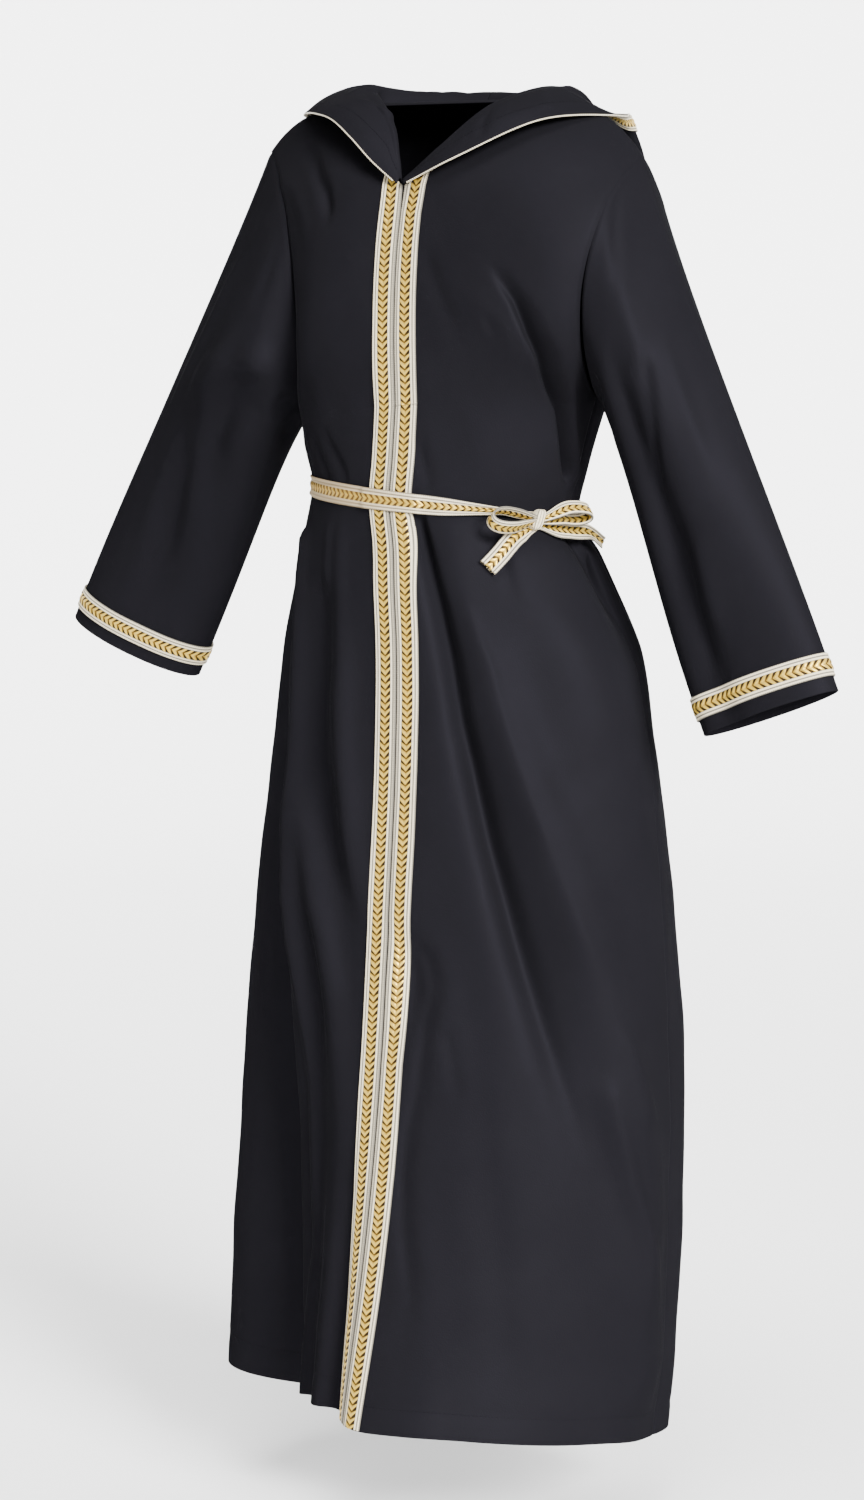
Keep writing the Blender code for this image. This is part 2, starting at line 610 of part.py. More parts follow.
def make_front_trim(name, side, front):
    """Braid down a front edge, cut off slantwise along the neckline at its top."""
    index = front.grids[0]
    first = len([row for row in FRONT_ROWS if row > NECK_ROW])
    columns = index[first:, ::side][:, :3]
    lift = np.full(columns.shape, SEAM_GAP)
    points, normals = laid_on(front, columns, lift)
    cut = raised(yoke_points(side, -1, np.array(BAND_TOP_ROWS), np.array(BAND_TOP_PLACES)))
    cut = cut + normals[1] * SEAM_GAP * 4
    cut[0, 0] += side * SEAM_GAP / 2
    points[0, 0] = cut[0]
    points = np.concatenate([cut[None], points])[:, ::side]
    normals = np.concatenate([normals[:1], normals])[:, ::side]
    return tape(name, "braid", points, normals, TAPE)


def make_cuff_trim(name, sleeve):
    """Braid round a sleeve, a little above its edge."""
    points, normals = laid_on(sleeve, sleeve.grids[0][-4:-1],
                              np.full(sleeve.grids[0][-4:-1].shape, SEAM_GAP))
    return tape(name, "braid", points, normals, TAPE, closed=True)


def make_hood_trim(name, side, hood):
    """Braid on the hood's outer side, standing just past the face edge as its piping."""
    index = hood.grids[0][-3:]
    lift = np.broadcast_to(np.array(HOOD_TRIM_LIFTS)[:, None] * SEAM_GAP, index.shape)
    points, normals = laid_on(hood, index, lift)
    points[2] = points[2] + unit(points[2] - points[1]) * PIPING
    columns = slice(0, -1) if side > 0 else slice(1, None)
    return tape(name, "braid", points[:, columns], normals[:, columns], TAPE,
                mirrored=side < 0)


def make_belt(name, fronts, back):
    """The braid belt, round the body just clear of it and of the front bands."""
    level = len(FRONT_ROWS) + LEVELS.index(BELT_TOP)
    behind = len(BACK_ROWS) + LEVELS.index(BELT_TOP)
    over_band = SEAM_GAP * 2 + TAPE
    runs = []
    left = fronts[1].grids[0][level:level + 2]
    lift = np.full(left.shape, BELT_LIFT)
    lift[:, :3] = over_band
    runs.append(laid_on(fronts[1], left, lift))
    for half in back.grids:
        inner = half[behind:behind + 2, 1:]
        runs.append(laid_on(back, inner, np.full(inner.shape, BELT_LIFT)))
    right = fronts[-1].grids[0][level:level + 2, :-1]
    lift = np.full(right.shape, BELT_LIFT)
    lift[:, -2:] = over_band
    runs.append(laid_on(fronts[-1], right, lift))
    points = np.concatenate([run[0] for run in runs], axis=1)
    normals = np.concatenate([run[1] for run in runs], axis=1)
    return tape(name, "braid", points, normals, BELT_CLOTH, closed=True)


def bow_frame():
    """The bow's place on the belt and its directions: out, to the left, and up."""
    angle = np.array((BOW_ANGLE - 0.5, BOW_ANGLE, BOW_ANGLE + 0.5))
    points = raised(ring_points(np.full(3, BOW_LEVEL), angle))
    along = unit(points[2] - points[0])
    out = unit(np.cross(along, np.array((0.0, 0.0, 1.0))))
    return points[1] + out * (BELT_LIFT + BELT_CLOTH), out, along, np.cross(out, along)


def make_knot(name):
    """The belt's knot: a rounded block of wrapped tape."""
    place, out, along, up = bow_frame()
    around = np.linspace(0.0, 2 * np.pi, 15)[:-1]
    rows = []
    for lat in np.linspace(-90.0, 90.0, 9)[1:-1]:
        flat = np.cos(np.radians(lat)) ** KNOT_ROUNDING
        high = np.sign(lat) * abs(np.sin(np.radians(lat))) ** KNOT_ROUNDING
        c = np.sign(np.cos(around)) * np.abs(np.cos(around)) ** KNOT_ROUNDING
        s = np.sign(np.sin(around)) * np.abs(np.sin(around)) ** KNOT_ROUNDING
        rows.append(place + out * KNOT_LIFT + np.outer(c * flat * KNOT[0], along)
                    + np.outer(s * flat * KNOT[1], out) + high * KNOT[2] * up)
    grid = np.array(rows)
    count = len(around)
    points = np.concatenate([grid.reshape(-1, 3), grid[:1].mean(axis=1),
                             grid[-1:].mean(axis=1)])
    faces = []
    for i in range(len(grid) - 1):
        for j in range(count):
            a = i * count + j
            b = i * count + (j + 1) % count
            faces += [(a, a + count, b + count), (a, b + count, b)]
    bottom = len(grid) * count
    for j in range(count):
        k = (j + 1) % count
        faces.append((bottom, j, k))
        faces.append((bottom + 1, bottom - count + k, bottom - count + j))
    return solid(name, "braid", points, faces)


def make_loop(name, way):
    """A loop of the bow: tape that runs out from the knot, turns and comes back below."""
    place, out, along, up = bow_frame()
    turn = np.linspace(0.06, 1.94, 19) * np.pi
    bulge = np.sin(turn / 2) ** 1.3
    reach = KNOT[0] + SEAM_GAP + LOOP_REACH * (bulge - bulge[0])
    spread = LOOP_SPREAD * np.sin(turn) * np.sin(turn / 2) ** 0.5 + LOOP_ROOT * np.cos(turn / 2)
    apart = LOOP_LEAN * up - (1 - LOOP_LEAN ** 2) ** 0.5 * out
    broad = LOOP_LEAN * out + (1 - LOOP_LEAN ** 2) ** 0.5 * up
    middle = (place + np.outer(KNOT_LIFT + LOOP_LIFT + LOOP_FLARE * bulge, out)
              + np.outer(reach * way, along) + np.outer(spread, apart)
              - np.outer((reach / LOOP_REACH) ** 2 * LOOP_DROOP, up))
    across = np.linspace(0.5, -0.5, 3) * LOOP_WIDTH
    grid = middle[None] + across[:, None, None] * broad
    if way < 0:
        grid = grid[:, ::-1]
    return Sheet([grid]).wall(name, "braid", -TAPE / 2, TAPE / 2)


def make_tail(name):
    """A free end of the belt: tape that leaves the knot and hangs on the skirt."""
    angles, levels, lifts = TAILS[name]
    stop = np.linspace(0.0, 1.0, 4)
    f = np.linspace(0.0, 1.0, 10)
    angle = through(stop, angles, f)
    level = through(stop, levels, f)
    lift = through(stop, lifts, f)
    middle = raised(ring_points(level, angle))
    beside = raised(ring_points(level, angle + 1.0))
    below = raised(ring_points(level - 0.004, angle))
    out = unit(np.cross(beside - middle, middle - below))
    middle = middle + out * lift[:, None]
    run = unit(np.gradient(middle, axis=0))
    broad = unit(np.cross(out, run))
    width = TAIL_START + (TAIL_WIDTH - TAIL_START) * smooth(0.0, 0.35, f)
    across = np.linspace(0.5, -0.5, 3)[:, None] * width
    grid = middle[None] + across[..., None] * broad[None]
    return Sheet([grid]).wall(name, "braid", -TAPE / 2, TAPE / 2)


fronts = {side: Sheet([front_grid(side)]) for side in (1, -1)}
back = Sheet(back_grids())
sleeves = {side: Sheet([sleeve_grid(side)], closed=True) for side in (1, -1)}
hoods = {side: Sheet([hood_grid(side)], mirrored=side < 0) for side in (1, -1)}
cloths = [*fronts.values(), back, *sleeves.values(), *hoods.values()]
share_normals(cloths)
for cloth in cloths:
    cloth.part_seams()

back.wall("back", "crepe", -CLOTH, 0.0)
for side, word in ((1, "left"), (-1, "right")):
    fronts[side].wall("front_" + word, "crepe", -CLOTH, 0.0)
    sleeves[side].wall("sleeve_" + word, "crepe", -CLOTH, 0.0)
    hoods[side].wall("hood_" + word, "crepe", -CLOTH, 0.0)
    make_front_trim("front_trim_" + word, side, fronts[side])
    make_cuff_trim("cuff_trim_" + word, sleeves[side])
    make_hood_trim("hood_trim_" + word, side, hoods[side])
    make_loop("bow_loop_" + word, side)
make_belt("belt", fronts, back)
make_knot("belt_knot")
for tail in TAILS:
    make_tail(tail)
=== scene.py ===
import math

import bpy
import numpy as np
from mathutils import Matrix, Vector


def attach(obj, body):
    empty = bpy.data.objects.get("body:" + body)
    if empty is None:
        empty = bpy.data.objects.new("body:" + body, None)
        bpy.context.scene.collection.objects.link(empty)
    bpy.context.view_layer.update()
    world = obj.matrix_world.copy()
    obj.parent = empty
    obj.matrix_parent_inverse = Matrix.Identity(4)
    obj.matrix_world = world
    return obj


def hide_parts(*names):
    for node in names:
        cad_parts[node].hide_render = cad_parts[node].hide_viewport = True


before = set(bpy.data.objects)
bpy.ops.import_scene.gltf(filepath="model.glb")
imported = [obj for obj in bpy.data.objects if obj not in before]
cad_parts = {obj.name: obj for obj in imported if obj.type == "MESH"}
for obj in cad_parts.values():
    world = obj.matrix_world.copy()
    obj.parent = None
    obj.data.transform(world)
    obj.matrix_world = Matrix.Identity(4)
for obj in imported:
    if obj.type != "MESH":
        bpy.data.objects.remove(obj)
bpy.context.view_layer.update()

# The abaya stands as it hangs when worn: +Z up, its front along -Y, +X the wearer's left,
# and the origin in the middle of the neck, level with the tops of the shoulders.


# ----- Camera -----
# A long lens at chest height, 3 m away and turned 28 degrees towards the wearer's left.
PICTURE = (864, 1500)
TURN = math.radians(28.0)
DISTANCE = 3.0
EYE_LEVEL = -0.194
FOCAL = 3947.0
HORIZON_ROW = 350.0
AXIS_COLUMN = 452.0
SENSOR = 36.0
view_across = np.array((math.cos(TURN), math.sin(TURN), 0.0))
view_ahead = np.array((-math.sin(TURN), math.cos(TURN), 0.0))


def aim():
    """Right, up and forward: the level view turned by the yaw and tipped down; and the eye."""
    lift = np.array((0.0, 0.0, 1.0))
    yaw = math.atan((PICTURE[0] / 2 - AXIS_COLUMN) / FOCAL)
    pitch = math.atan((PICTURE[1] / 2 - HORIZON_ROW) / FOCAL)
    right = view_across * math.cos(yaw) - view_ahead * math.sin(yaw)
    level = view_ahead * math.cos(yaw) + view_across * math.sin(yaw)
    forward = level * math.cos(pitch) - lift * math.sin(pitch)
    top = lift * math.cos(pitch) + level * math.sin(pitch)
    return right, top, forward, lift * EYE_LEVEL - view_ahead * DISTANCE


right, top, forward, eye = aim()
lens = bpy.data.cameras.new("camera")
lens.sensor_fit = "VERTICAL"
lens.sensor_height = SENSOR
lens.lens = FOCAL / PICTURE[1] * SENSOR
lens.clip_end = 60.0
camera = bpy.data.objects.new("camera", lens)
bpy.context.scene.collection.objects.link(camera)
turned = Matrix((right, top, -forward)).transposed().to_4x4()
camera.matrix_world = Matrix.Translation(Vector(eye)) @ turned
bpy.context.scene.camera = camera


# ----- Floor and light -----
# A white studio sweep: the floor curves up into a wall behind. A big soft key stands at the
# wearer's left front, a weak one high in front, and dim soft light comes from all round.
FLOOR_LEVEL = -1.085
SWEEP_HALF = 9.0
SWEEP_NEAR = -6.0
SWEEP_FAR = 3.6
SWEEP_RADIUS = 2.2
SWEEP_HIGH = 6.5
SWEEP_TONE = (0.93, 0.93, 0.93, 1.0)
SKY_TONE = (1.0, 1.0, 1.0, 1.0)
SKY_STRENGTH = 0.5
# Soft suns: the way each one shines, its strength and its width in degrees.
LAMPS = {
    "key": ((-0.77, 0.53, -0.36), 13.0, 22.0),
    "top": ((-0.10, 0.42, -0.90), 3.2, 30.0),
}

world = bpy.data.worlds.new("studio")
world.use_nodes = True
sky = world.node_tree.nodes["Background"]
sky.inputs["Color"].default_value = SKY_TONE
sky.inputs["Strength"].default_value = SKY_STRENGTH
bpy.context.scene.world = world

bend = np.linspace(0.0, math.pi / 2, 25)
sweep_line = np.concatenate([
    [(SWEEP_NEAR, FLOOR_LEVEL)],
    np.stack([SWEEP_FAR + SWEEP_RADIUS * np.sin(bend),
              FLOOR_LEVEL + SWEEP_RADIUS * (1.0 - np.cos(bend))], axis=1),
    [(SWEEP_FAR + SWEEP_RADIUS, SWEEP_HIGH)]])
sweep_points = [view_across * side * SWEEP_HALF + view_ahead * deep + (0.0, 0.0, level)
                for deep, level in sweep_line for side in (-1.0, 1.0)]
sweep_mesh = bpy.data.meshes.new("sweep")
sweep_mesh.from_pydata(sweep_points, [], [(k, k + 1, k + 3, k + 2)
                                          for k in range(0, len(sweep_points) - 2, 2)])
sweep_mesh.shade_smooth()
sweep = bpy.data.objects.new("sweep", sweep_mesh)
bpy.context.scene.collection.objects.link(sweep)
sweep_paint = bpy.data.materials.new("studio_white")
sweep_paint.use_nodes = True
sweep_shader = sweep_paint.node_tree.nodes["Principled BSDF"]
sweep_shader.inputs["Base Color"].default_value = SWEEP_TONE
sweep_shader.inputs["Roughness"].default_value = 1.0
sweep_shader.inputs["Specular IOR Level"].default_value = 0.0
sweep_mesh.materials.append(sweep_paint)

for name, (way, power, width) in LAMPS.items():
    lamp = bpy.data.lights.new(name, "SUN")
    lamp.energy = power
    lamp.angle = math.radians(width)
    stand = bpy.data.objects.new(name, lamp)
    stand.location = -3.0 * Vector(way)
    stand.rotation_euler = Vector(way).to_track_quat("-Z", "Y").to_euler()
    bpy.context.scene.collection.objects.link(stand)


# ----- Back -----
# The back is one piece of thin black polyester crepe, cut from the neck to the hem and
# hanging free below the belt in soft folds. Its hem is turned up inside and stitched.
CLOTH_THICK = 0.0007
HEM_DEEP = 0.021
HEM_OPEN = 0.0016
UNDERARM = -0.235
WAIST = -0.305
HEM = -1.0
NECK_ROW = 0.7
BAND_WIDTH = 0.0178

# Rings of the body: level, half width, depth in front, depth behind, shift to the left.
BODY = (
    (UNDERARM, 0.1240, 0.085, 0.088, -0.002),
    (-0.275, 0.1120, 0.088, 0.084, -0.003),
    (WAIST, 0.1050, 0.089, 0.079, -0.005),
    (-0.340, 0.1190, 0.092, 0.086, 0.000),
    (-0.370, 0.1300, 0.096, 0.093, 0.003),
    (-0.410, 0.1420, 0.100, 0.099, 0.007),
    (-0.490, 0.1530, 0.105, 0.108, 0.009),
    (-0.610, 0.1630, 0.112, 0.125, 0.007),
    (-0.750, 0.1710, 0.125, 0.138, 0.005),
    (-0.900, 0.1720, 0.142, 0.150, -0.003),
    (HEM, 0.1680, 0.160, 0.158, -0.010),
)
TILT = ((UNDERARM, 0.007), (-0.275, -0.002), (WAIST, -0.011), (-0.340, -0.008),
        (-0.410, 0.000), (HEM, 0.000))
HEM_LINE = ((-180, -0.012), (-130, -0.002), (-95, 0.011), (-60, 0.007), (-25, 0.014),
            (-9, 0.016), (0, 0.011), (25, 0.008), (48, 0.001), (72, -0.008), (98, -0.020),
            (135, -0.018), (180, -0.012))
SIDE_SEAMS = ((UNDERARM, 90, -90), (WAIST, 90, -90), (-0.60, 99, -93), (HEM, 103, -95))

# Big folds: level, angle and height at the top, middle and foot, and half width in degrees.
FOLDS = (
    (-0.320, -0.600, -0.860, 15, 48, 73, -0.002, -0.009, 0.000, 7),
    (-0.345, -0.600, -0.960, 27, 64, 92, 0.002, 0.009, 0.007, 9),
    (-0.335, -0.650, HEM, -66, -44, -48, 0.002, 0.009, 0.004, 8),
    (-0.335, -0.600, HEM, -76, -65, -60, -0.006, -0.030, -0.060, 12),
    (-0.600, -0.800, HEM, -40, -39, -38, 0.000, -0.028, -0.052, 19),
    (-0.335, -0.430, HEM, -98, -94, -84, 0.014, 0.014, 0.013, 13),
    (-0.360, -0.500, -0.620, -26, -19, -8, 0.000, 0.007, 0.000, 7),
    (-0.500, -0.660, -0.820, -44, -23, -10, 0.000, 0.008, 0.000, 7),
    (-0.740, -0.880, HEM, -9, -10, -11, 0.000, -0.010, -0.022, 6.5),
    (-0.320, -0.360, -0.430, 82, 88, 90, 0.000, -0.005, 0.000, 6),
    (-0.610, -0.655, -0.720, 8, 14, 11, 0.000, -0.007, 0.000, 6),
    (-0.150, -0.230, -0.300, 60, 74, 84, 0.000, 0.004, 0.002, 9),
    (-0.330, -0.640, HEM, 120, 116, 114, 0.000, 0.010, 0.0115, 10),
    (-0.330, -0.640, HEM, 142, 137, 133, 0.000, -0.014, -0.026, 10),
    (-0.340, -0.660, HEM, 158, 157, 156, 0.000, 0.008, 0.016, 9),
    (-0.360, -0.700, HEM, 176, 178, 180, 0.000, -0.010, -0.020, 9),
    (-0.340, -0.660, HEM, -161, -158, -155, 0.000, 0.009, 0.017, 9),
    (-0.330, -0.640, HEM, -141, -136, -132, 0.000, -0.012, -0.024, 9),
    (-0.340, -0.660, HEM, -112, -107, -104, 0.000, 0.010, 0.018, 10),
)
FOLD_LEAN = -0.16
FOLD_END = 0.03

# Creases: height, half width on each side, the share of the line over which each end
# fades, and the line itself as angles in degrees and levels.
CREASES = (
    (-0.0082, 0.0046, 0.0042, 0.5, 0.03, ((40.1, -.127), (44.2, -.139), (49.6, -.158),
        (54.7, -.183), (62.9, -.211), (71.8, -.235), (77.4, -.265), (82.9, -.290))),
    (0.0026, 0.004, 0.005, 0.5, 0.05, ((64.9, -.199), (71.5, -.225), (76.6, -.252),
        (84.1, -.279), (89.1, -.293))),
    (-0.0009, 0.004, 0.005, 0.4, 0.4, ((39.2, -.165), (41.5, -.175), (45.0, -.188))),
    (-0.0010, 0.010, 0.008, 0.4, 0.4, ((13, -.11), (18, -.135), (27, -.17), (33, -.20))),
    (0.0009, 0.009, 0.008, 0.4, 0.4, ((33, -.14), (38, -.162), (47.2, -.184), (53, -.21))),
    (-0.0009, 0.007, 0.006, 0.4, 0.1, ((11.5, -.255), (14, -.275), (18, -.297))),
    (-0.0030, 0.006, 0.006, 0.2, 0.4, ((-75, -.036), (-61.4, -.050), (-46.2, -.074),
        (-40.7, -.088), (-36, -.105))),
    (0.0012, 0.007, 0.007, 0.2, 0.5, ((-78, -.060), (-62, -.078), (-52, -.098), (-46, -.125))),
    (-0.0013, 0.006, 0.004, 0.5, 0.1, ((-47, -.25), (-42, -.263), (-35, -.277), (-28, -.293))),
    (-0.0010, 0.005, 0.004, 0.5, 0.1, ((-62, -.245), (-54, -.262), (-47, -.278), (-41, -.294))),
    (0.0009, 0.006, 0.005, 0.5, 0.1, ((-75, -.250), (-68, -.268), (-62, -.292))),
    (-0.0056, 0.010, 0.0050, 0.02, 0.35, ((10.5, -.310), (12.6, -.320), (17.0, -.344),
        (23.4, -.379), (29.0, -.419), (33.3, -.467), (38.0, -.505), (42.7, -.552),
        (48.3, -.599), (52.4, -.642), (57.8, -.701), (62.7, -.757), (67.1, -.810))),
    (0.0015, 0.010, 0.006, 0.15, 0.2, ((30.1, -.367), (35.9, -.397), (40.7, -.426),
        (44.2, -.464), (48.4, -.502), (52.1, -.533), (57.0, -.572), (61.7, -.609),
        (65.2, -.637), (67.9, -.677))),
    (0.0023, 0.006, 0.006, 0.2, 0.3, ((68.9, -.724), (70.5, -.745), (73.1, -.773),
        (76.6, -.812), (81.0, -.844), (86.9, -.881), (92.5, -.929))),
    (0.0011, 0.006, 0.006, 0.3, 0.3, ((70.8, -.686), (75.9, -.711), (80.6, -.748),
        (85.7, -.776))),
    (0.0014, 0.018, 0.018, 0.3, 0.2, ((60, -.360), (65.4, -.391), (69.8, -.424),
        (75.3, -.461), (82.3, -.497))),
    (-0.0011, 0.015, 0.015, 0.3, 0.3, ((54, -.395), (57.7, -.464), (60.9, -.503),
        (64.5, -.555))),
    (-0.0036, 0.010, 0.0035, 0.05, 0.5, ((82, -.318), (85.2, -.334), (89.1, -.353),
        (90.3, -.376), (88.9, -.400), (86.2, -.425))),
    (-0.0014, 0.005, 0.007, 0.1, 0.2, ((12.8, -.626), (19.8, -.642), (22.1, -.662),
        (18.8, -.691), (16.3, -.740), (13.2, -.770), (11.9, -.800), (12.6, -.840),
        (15.8, -.890), (13.6, -.932))),
    (-0.0007, 0.006, 0.006, 0.3, 0.3, ((25.0, -.686), (28.0, -.714), (30.1, -.752))),
    (0.0012, 0.010, 0.008, 0.1, 0.3, ((-32.3, -.313), (-30.2, -.348), (-21.5, -.423),
        (-19.9, -.472), (-16.6, -.521), (-14.7, -.559), (-10.9, -.597), (-6.7, -.629))),
    (0.0019, 0.012, 0.007, 0.2, 0.3, ((-45.0, -.521), (-38.3, -.551), (-32.4, -.588),
        (-23.6, -.632), (-19.4, -.660), (-14.3, -.713))),
    (-0.0024, 0.014, 0.014, 0.1, 0.3, ((-42.7, -.350), (-35.8, -.425), (-34.8, -.500),
        (-25.5, -.574), (-14.9, -.647))),
    (0.0030, 0.007, 0.010, 0.05, 0.05, ((-64, -.323), (-58.1, -.345), (-55.2, -.375),
        (-52.4, -.400), (-49.1, -.441), (-47.1, -.497), (-45.4, -.552), (-41.6, -.628),
        (-38.7, -.666), (-33.8, -.742), (-35, -.871), (-41, -.968), (-44, -1.03))),
    (-0.0009, 0.014, 0.011, 0.4, 0.2, ((30, -.60), (36, -.72), (41, -.86), (45, -1.0))),
    (0.0008, 0.016, 0.013, 0.4, 0.1, ((14, -.74), (19, -.86), (21, -1.02))),
    (-0.0012, 0.008, 0.006, 0.1, 0.4, ((44, -.318), (49, -.345), (52, -.385))),
    (0.0010, 0.007, 0.006, 0.1, 0.4, ((-40, -.318), (-38, -.35), (-36, -.39))),
    (-0.0014, 0.008, 0.007, 0.1, 0.4, ((104, -.318), (103, -.36), (105, -.42))),
    (0.0014, 0.010, 0.008, 0.1, 0.3, ((128, -.318), (127, -.40), (125, -.52))),
    (-0.0014, 0.008, 0.008, 0.4, 0.1, ((122, -.19), (126, -.24), (130, -.297))),
    (0.0012, 0.009, 0.007, 0.4, 0.1, ((148, -.20), (147, -.25), (145, -.297))),
    (-0.0013, 0.008, 0.007, 0.4, 0.1, ((170, -.22), (172, -.26), (171, -.297))),
    (0.0013, 0.008, 0.009, 0.1, 0.4, ((169, -.318), (170, -.37), (172, -.45))),
    (-0.0015, 0.009, 0.008, 0.4, 0.1, ((200, -.19), (202, -.24), (205, -.297))),
    (0.0014, 0.009, 0.008, 0.1, 0.4, ((214, -.318), (213, -.38), (216, -.47))),
    (-0.0014, 0.008, 0.010, 0.3, 0.1, ((236, -.20), (233, -.25), (229, -.297))),
    (0.0018, 0.014, 0.011, 0.3, 0.1, ((249, -.40), (251, -.62), (256, -.84), (258, -1.03))),
    (-0.0016, 0.012, 0.010, 0.3, 0.1, ((226, -.45), (228, -.66), (231, -.86), (233, -1.03))),
    (0.0016, 0.013, 0.010, 0.3, 0.1, ((194, -.50), (196, -.70), (199, -1.03))),
    (0.0016, 0.012, 0.012, 0.3, 0.1, ((149, -.48), (147, -.70), (145, -1.03))),
    (-0.0014, 0.012, 0.010, 0.4, 0.3, ((131, -.06), (142, -.10), (152, -.16), (156, -.20))),
    (-0.0013, 0.011, 0.009, 0.4, 0.3, ((231, -.07), (219, -.11), (210, -.17))),
)
CREASE_RADIUS = 0.125
BELT_GRIP = (0.004, 0.03)
CREASE_DEEP = 1.9
# Slow unevenness all over: height, turns per metre round and down, phase. It fades out
# under the front braid, between these angles from the middle.
RIPPLES = ((0.00032, 9.0, 3.1, 0.4), (0.00026, 14.0, -6.3, 1.9), (0.00022, 5.0, 11.0, 4.4),
           (0.00014, 23.0, 8.0, 2.6), (0.00012, -17.0, 19.0, 5.3))
RIPPLE_START = (2.0, 14.0)

# Neck, shoulders and the yoke between them, near to the solids. SHOULDER_RISE lifts the
# shoulder line between its ends, and the front armhole is drawn in at the wearer's right.
NECK_FRONT = (0.0, -0.075, -0.074)
NECK_SIDE = (0.067, 0.006, -0.008)
NAPE = (0.0, 0.052, -0.014)
SHOULDER_TIP = {1: (0.158, 0.0, -0.053), -1: (0.158, 0.0, -0.0415)}
UNDERARM_RISE = {1: 0.007, -1: -0.007}
SHOULDER_RISE = {1: (0.004, 0.026), -1: (0.004, 0.022)}
ARMHOLE_FOOT_PULL = {1: (0.012, 0.085, 0.020), -1: (-0.040, 0.085, 0.040)}
ARMHOLE_TIP_PULL = {1: (-0.005, 0.095, -0.030), -1: (-0.062, 0.078, -0.036)}
NECKLINE_START_PULL = {-1: (0.024, 0.006, 0.024), 1: (0.024, 0.000, 0.000)}
NECKLINE_END_PULL = {-1: (0.0, -0.030, -0.008), 1: (0.0, 0.020, 0.004)}
CENTRE_FRONT = ((0.0, -0.085, UNDERARM), (0.25, -0.0885, -0.180), (0.5, -0.085, -0.122),
                (NECK_ROW, NECK_FRONT[1], NECK_FRONT[2]))
CENTRE_BACK = ((0.0, 0.088, UNDERARM), (0.25, 0.094, -0.150), (0.45, 0.090, -0.085),
               (0.6, 0.073, -0.036), (NECK_ROW, NAPE[1], NAPE[2]))
FRONT_PULLS = (
    (0.00, 0.0685, 0.000, 0.000, 0.000, -0.047, 0.000),
    (0.35, 0.0620, -0.002, 0.000, -0.010, -0.032, 0.004),
    (0.70, 0.0500, -0.006, -0.004, -0.040, -0.020, 0.020),
    (0.85, 0.0380, -0.010, -0.006, -0.038, -0.008, 0.016),
    (1.00, 0.0310, -0.002, -0.010, -0.031, 0.002, 0.020),
)
BACK_PULLS = (
    (0.00, 0.0685, 0.000, 0.000, 0.000, 0.0486, 0.000),
    (0.35, 0.0600, 0.002, 0.000, -0.010, 0.030, 0.004),
    (0.70, 0.0450, 0.012, -0.004, -0.045, 0.030, 0.030),
    (0.85, 0.0350, 0.010, -0.004, -0.035, 0.012, 0.020),
    (1.00, 0.0310, -0.002, -0.010, -0.031, 0.002, 0.020),
)
YOKE_BLEND = 0.30
# Folds are evened out near the underarm: within this height, and from the second to the
# first of each pair of places across.
YOKE_HIGH = 0.25
EASE_REACH = 0.07
EASE_ROUNDS = 60
EASE_CENTRE = (0.12, 0.25)
EASE_SEAM = (1.0, 0.93)
SEAM_DIP = 0.0011
SEAM_REACH = 0.0024
# Places across a panel by its edges, its lap past the side seam, and the rows by the shoulder
# seam, of which the first laps over it.
SEAM_PLACES = (0.0006, 0.004, 0.009, 0.016, 0.026)
SEAM_LAP = 0.0016
SHOULDER_ROWS = (1.0025, 0.998, 0.990, 0.980, 0.968)
PANEL_ROWS = (80, 164)
BACK_COLUMNS = 60
# Stitches: spacing, length, thickness and how far each one stands up.
BLACK_STITCH = (0.0030, 0.0024, 0.00016, 0.00022)

CREPE_DARK = (0.0054, 0.0051, 0.0064)
CREPE_LIGHT = (0.0084, 0.0080, 0.0101)
# Lumps to a metre in the crepe's pebbles, in its yarn across and along, and in its shade.
PEBBLES = 800.0
YARN = (2600.0, 420.0, 1.0)
SHADES = 11.0
CREPE_RELIEF = 0.00030


def smooth(low, high, value):
    """0 at low, 1 at high and an S-shaped ramp between them."""
    step = np.clip((np.asarray(value, float) - low) / (high - low), 0.0, 1.0)
    return step * step * (3.0 - 2.0 * step)


def unit(vectors):
    """Vectors at length one."""
    return vectors / np.maximum(np.linalg.norm(vectors, axis=-1, keepdims=True), 1e-12)


def through(stops, values, at):
    """A curve through values at stops: cubic pieces with the mean slope at each stop."""
    stops = np.asarray(stops, float)
    values = np.asarray(values, float)
    at = np.clip(np.asarray(at, float), stops[0], stops[-1])
    slopes = np.gradient(values, stops, axis=0)
    k = np.clip(np.searchsorted(stops, at, side="right") - 1, 0, len(stops) - 2)
    span = stops[k + 1] - stops[k]
    f = (at - stops[k]) / span
    extra = (None,) * (values.ndim - 1)
    f = f[(..., *extra)]
    span = span[(..., *extra)]
    return ((1 + 2 * f) * (1 - f) ** 2 * values[k] + f * (1 - f) ** 2 * span * slopes[k]
            + f * f * (3 - 2 * f) * values[k + 1] + f * f * (f - 1) * span * slopes[k + 1])


def column(table, at):
    """Each column of a table after its first, read smoothly at the given places."""
    rows = np.array(table, float)
    return np.moveaxis(through(rows[:, 0], rows[:, 1:], at), -1, 0)


def falling(table, level):
    """The columns of a table whose first column falls from the neck to the hem."""
    rows = np.array(table, float)
    return np.moveaxis(through(-rows[:, 0], rows[:, 1:], -np.asarray(level, float)), -1, 0)


def pulled(start, start_pull, end, end_pull, f):
    """A cubic Bezier curve that leaves start and reaches end along the two pulls."""
    f = np.asarray(f, float)[..., None]
    return ((1 - f) ** 3 * start + 3 * (1 - f) ** 2 * f * (start + start_pull)
            + 3 * (1 - f) * f * f * (end + end_pull) + f ** 3 * end)


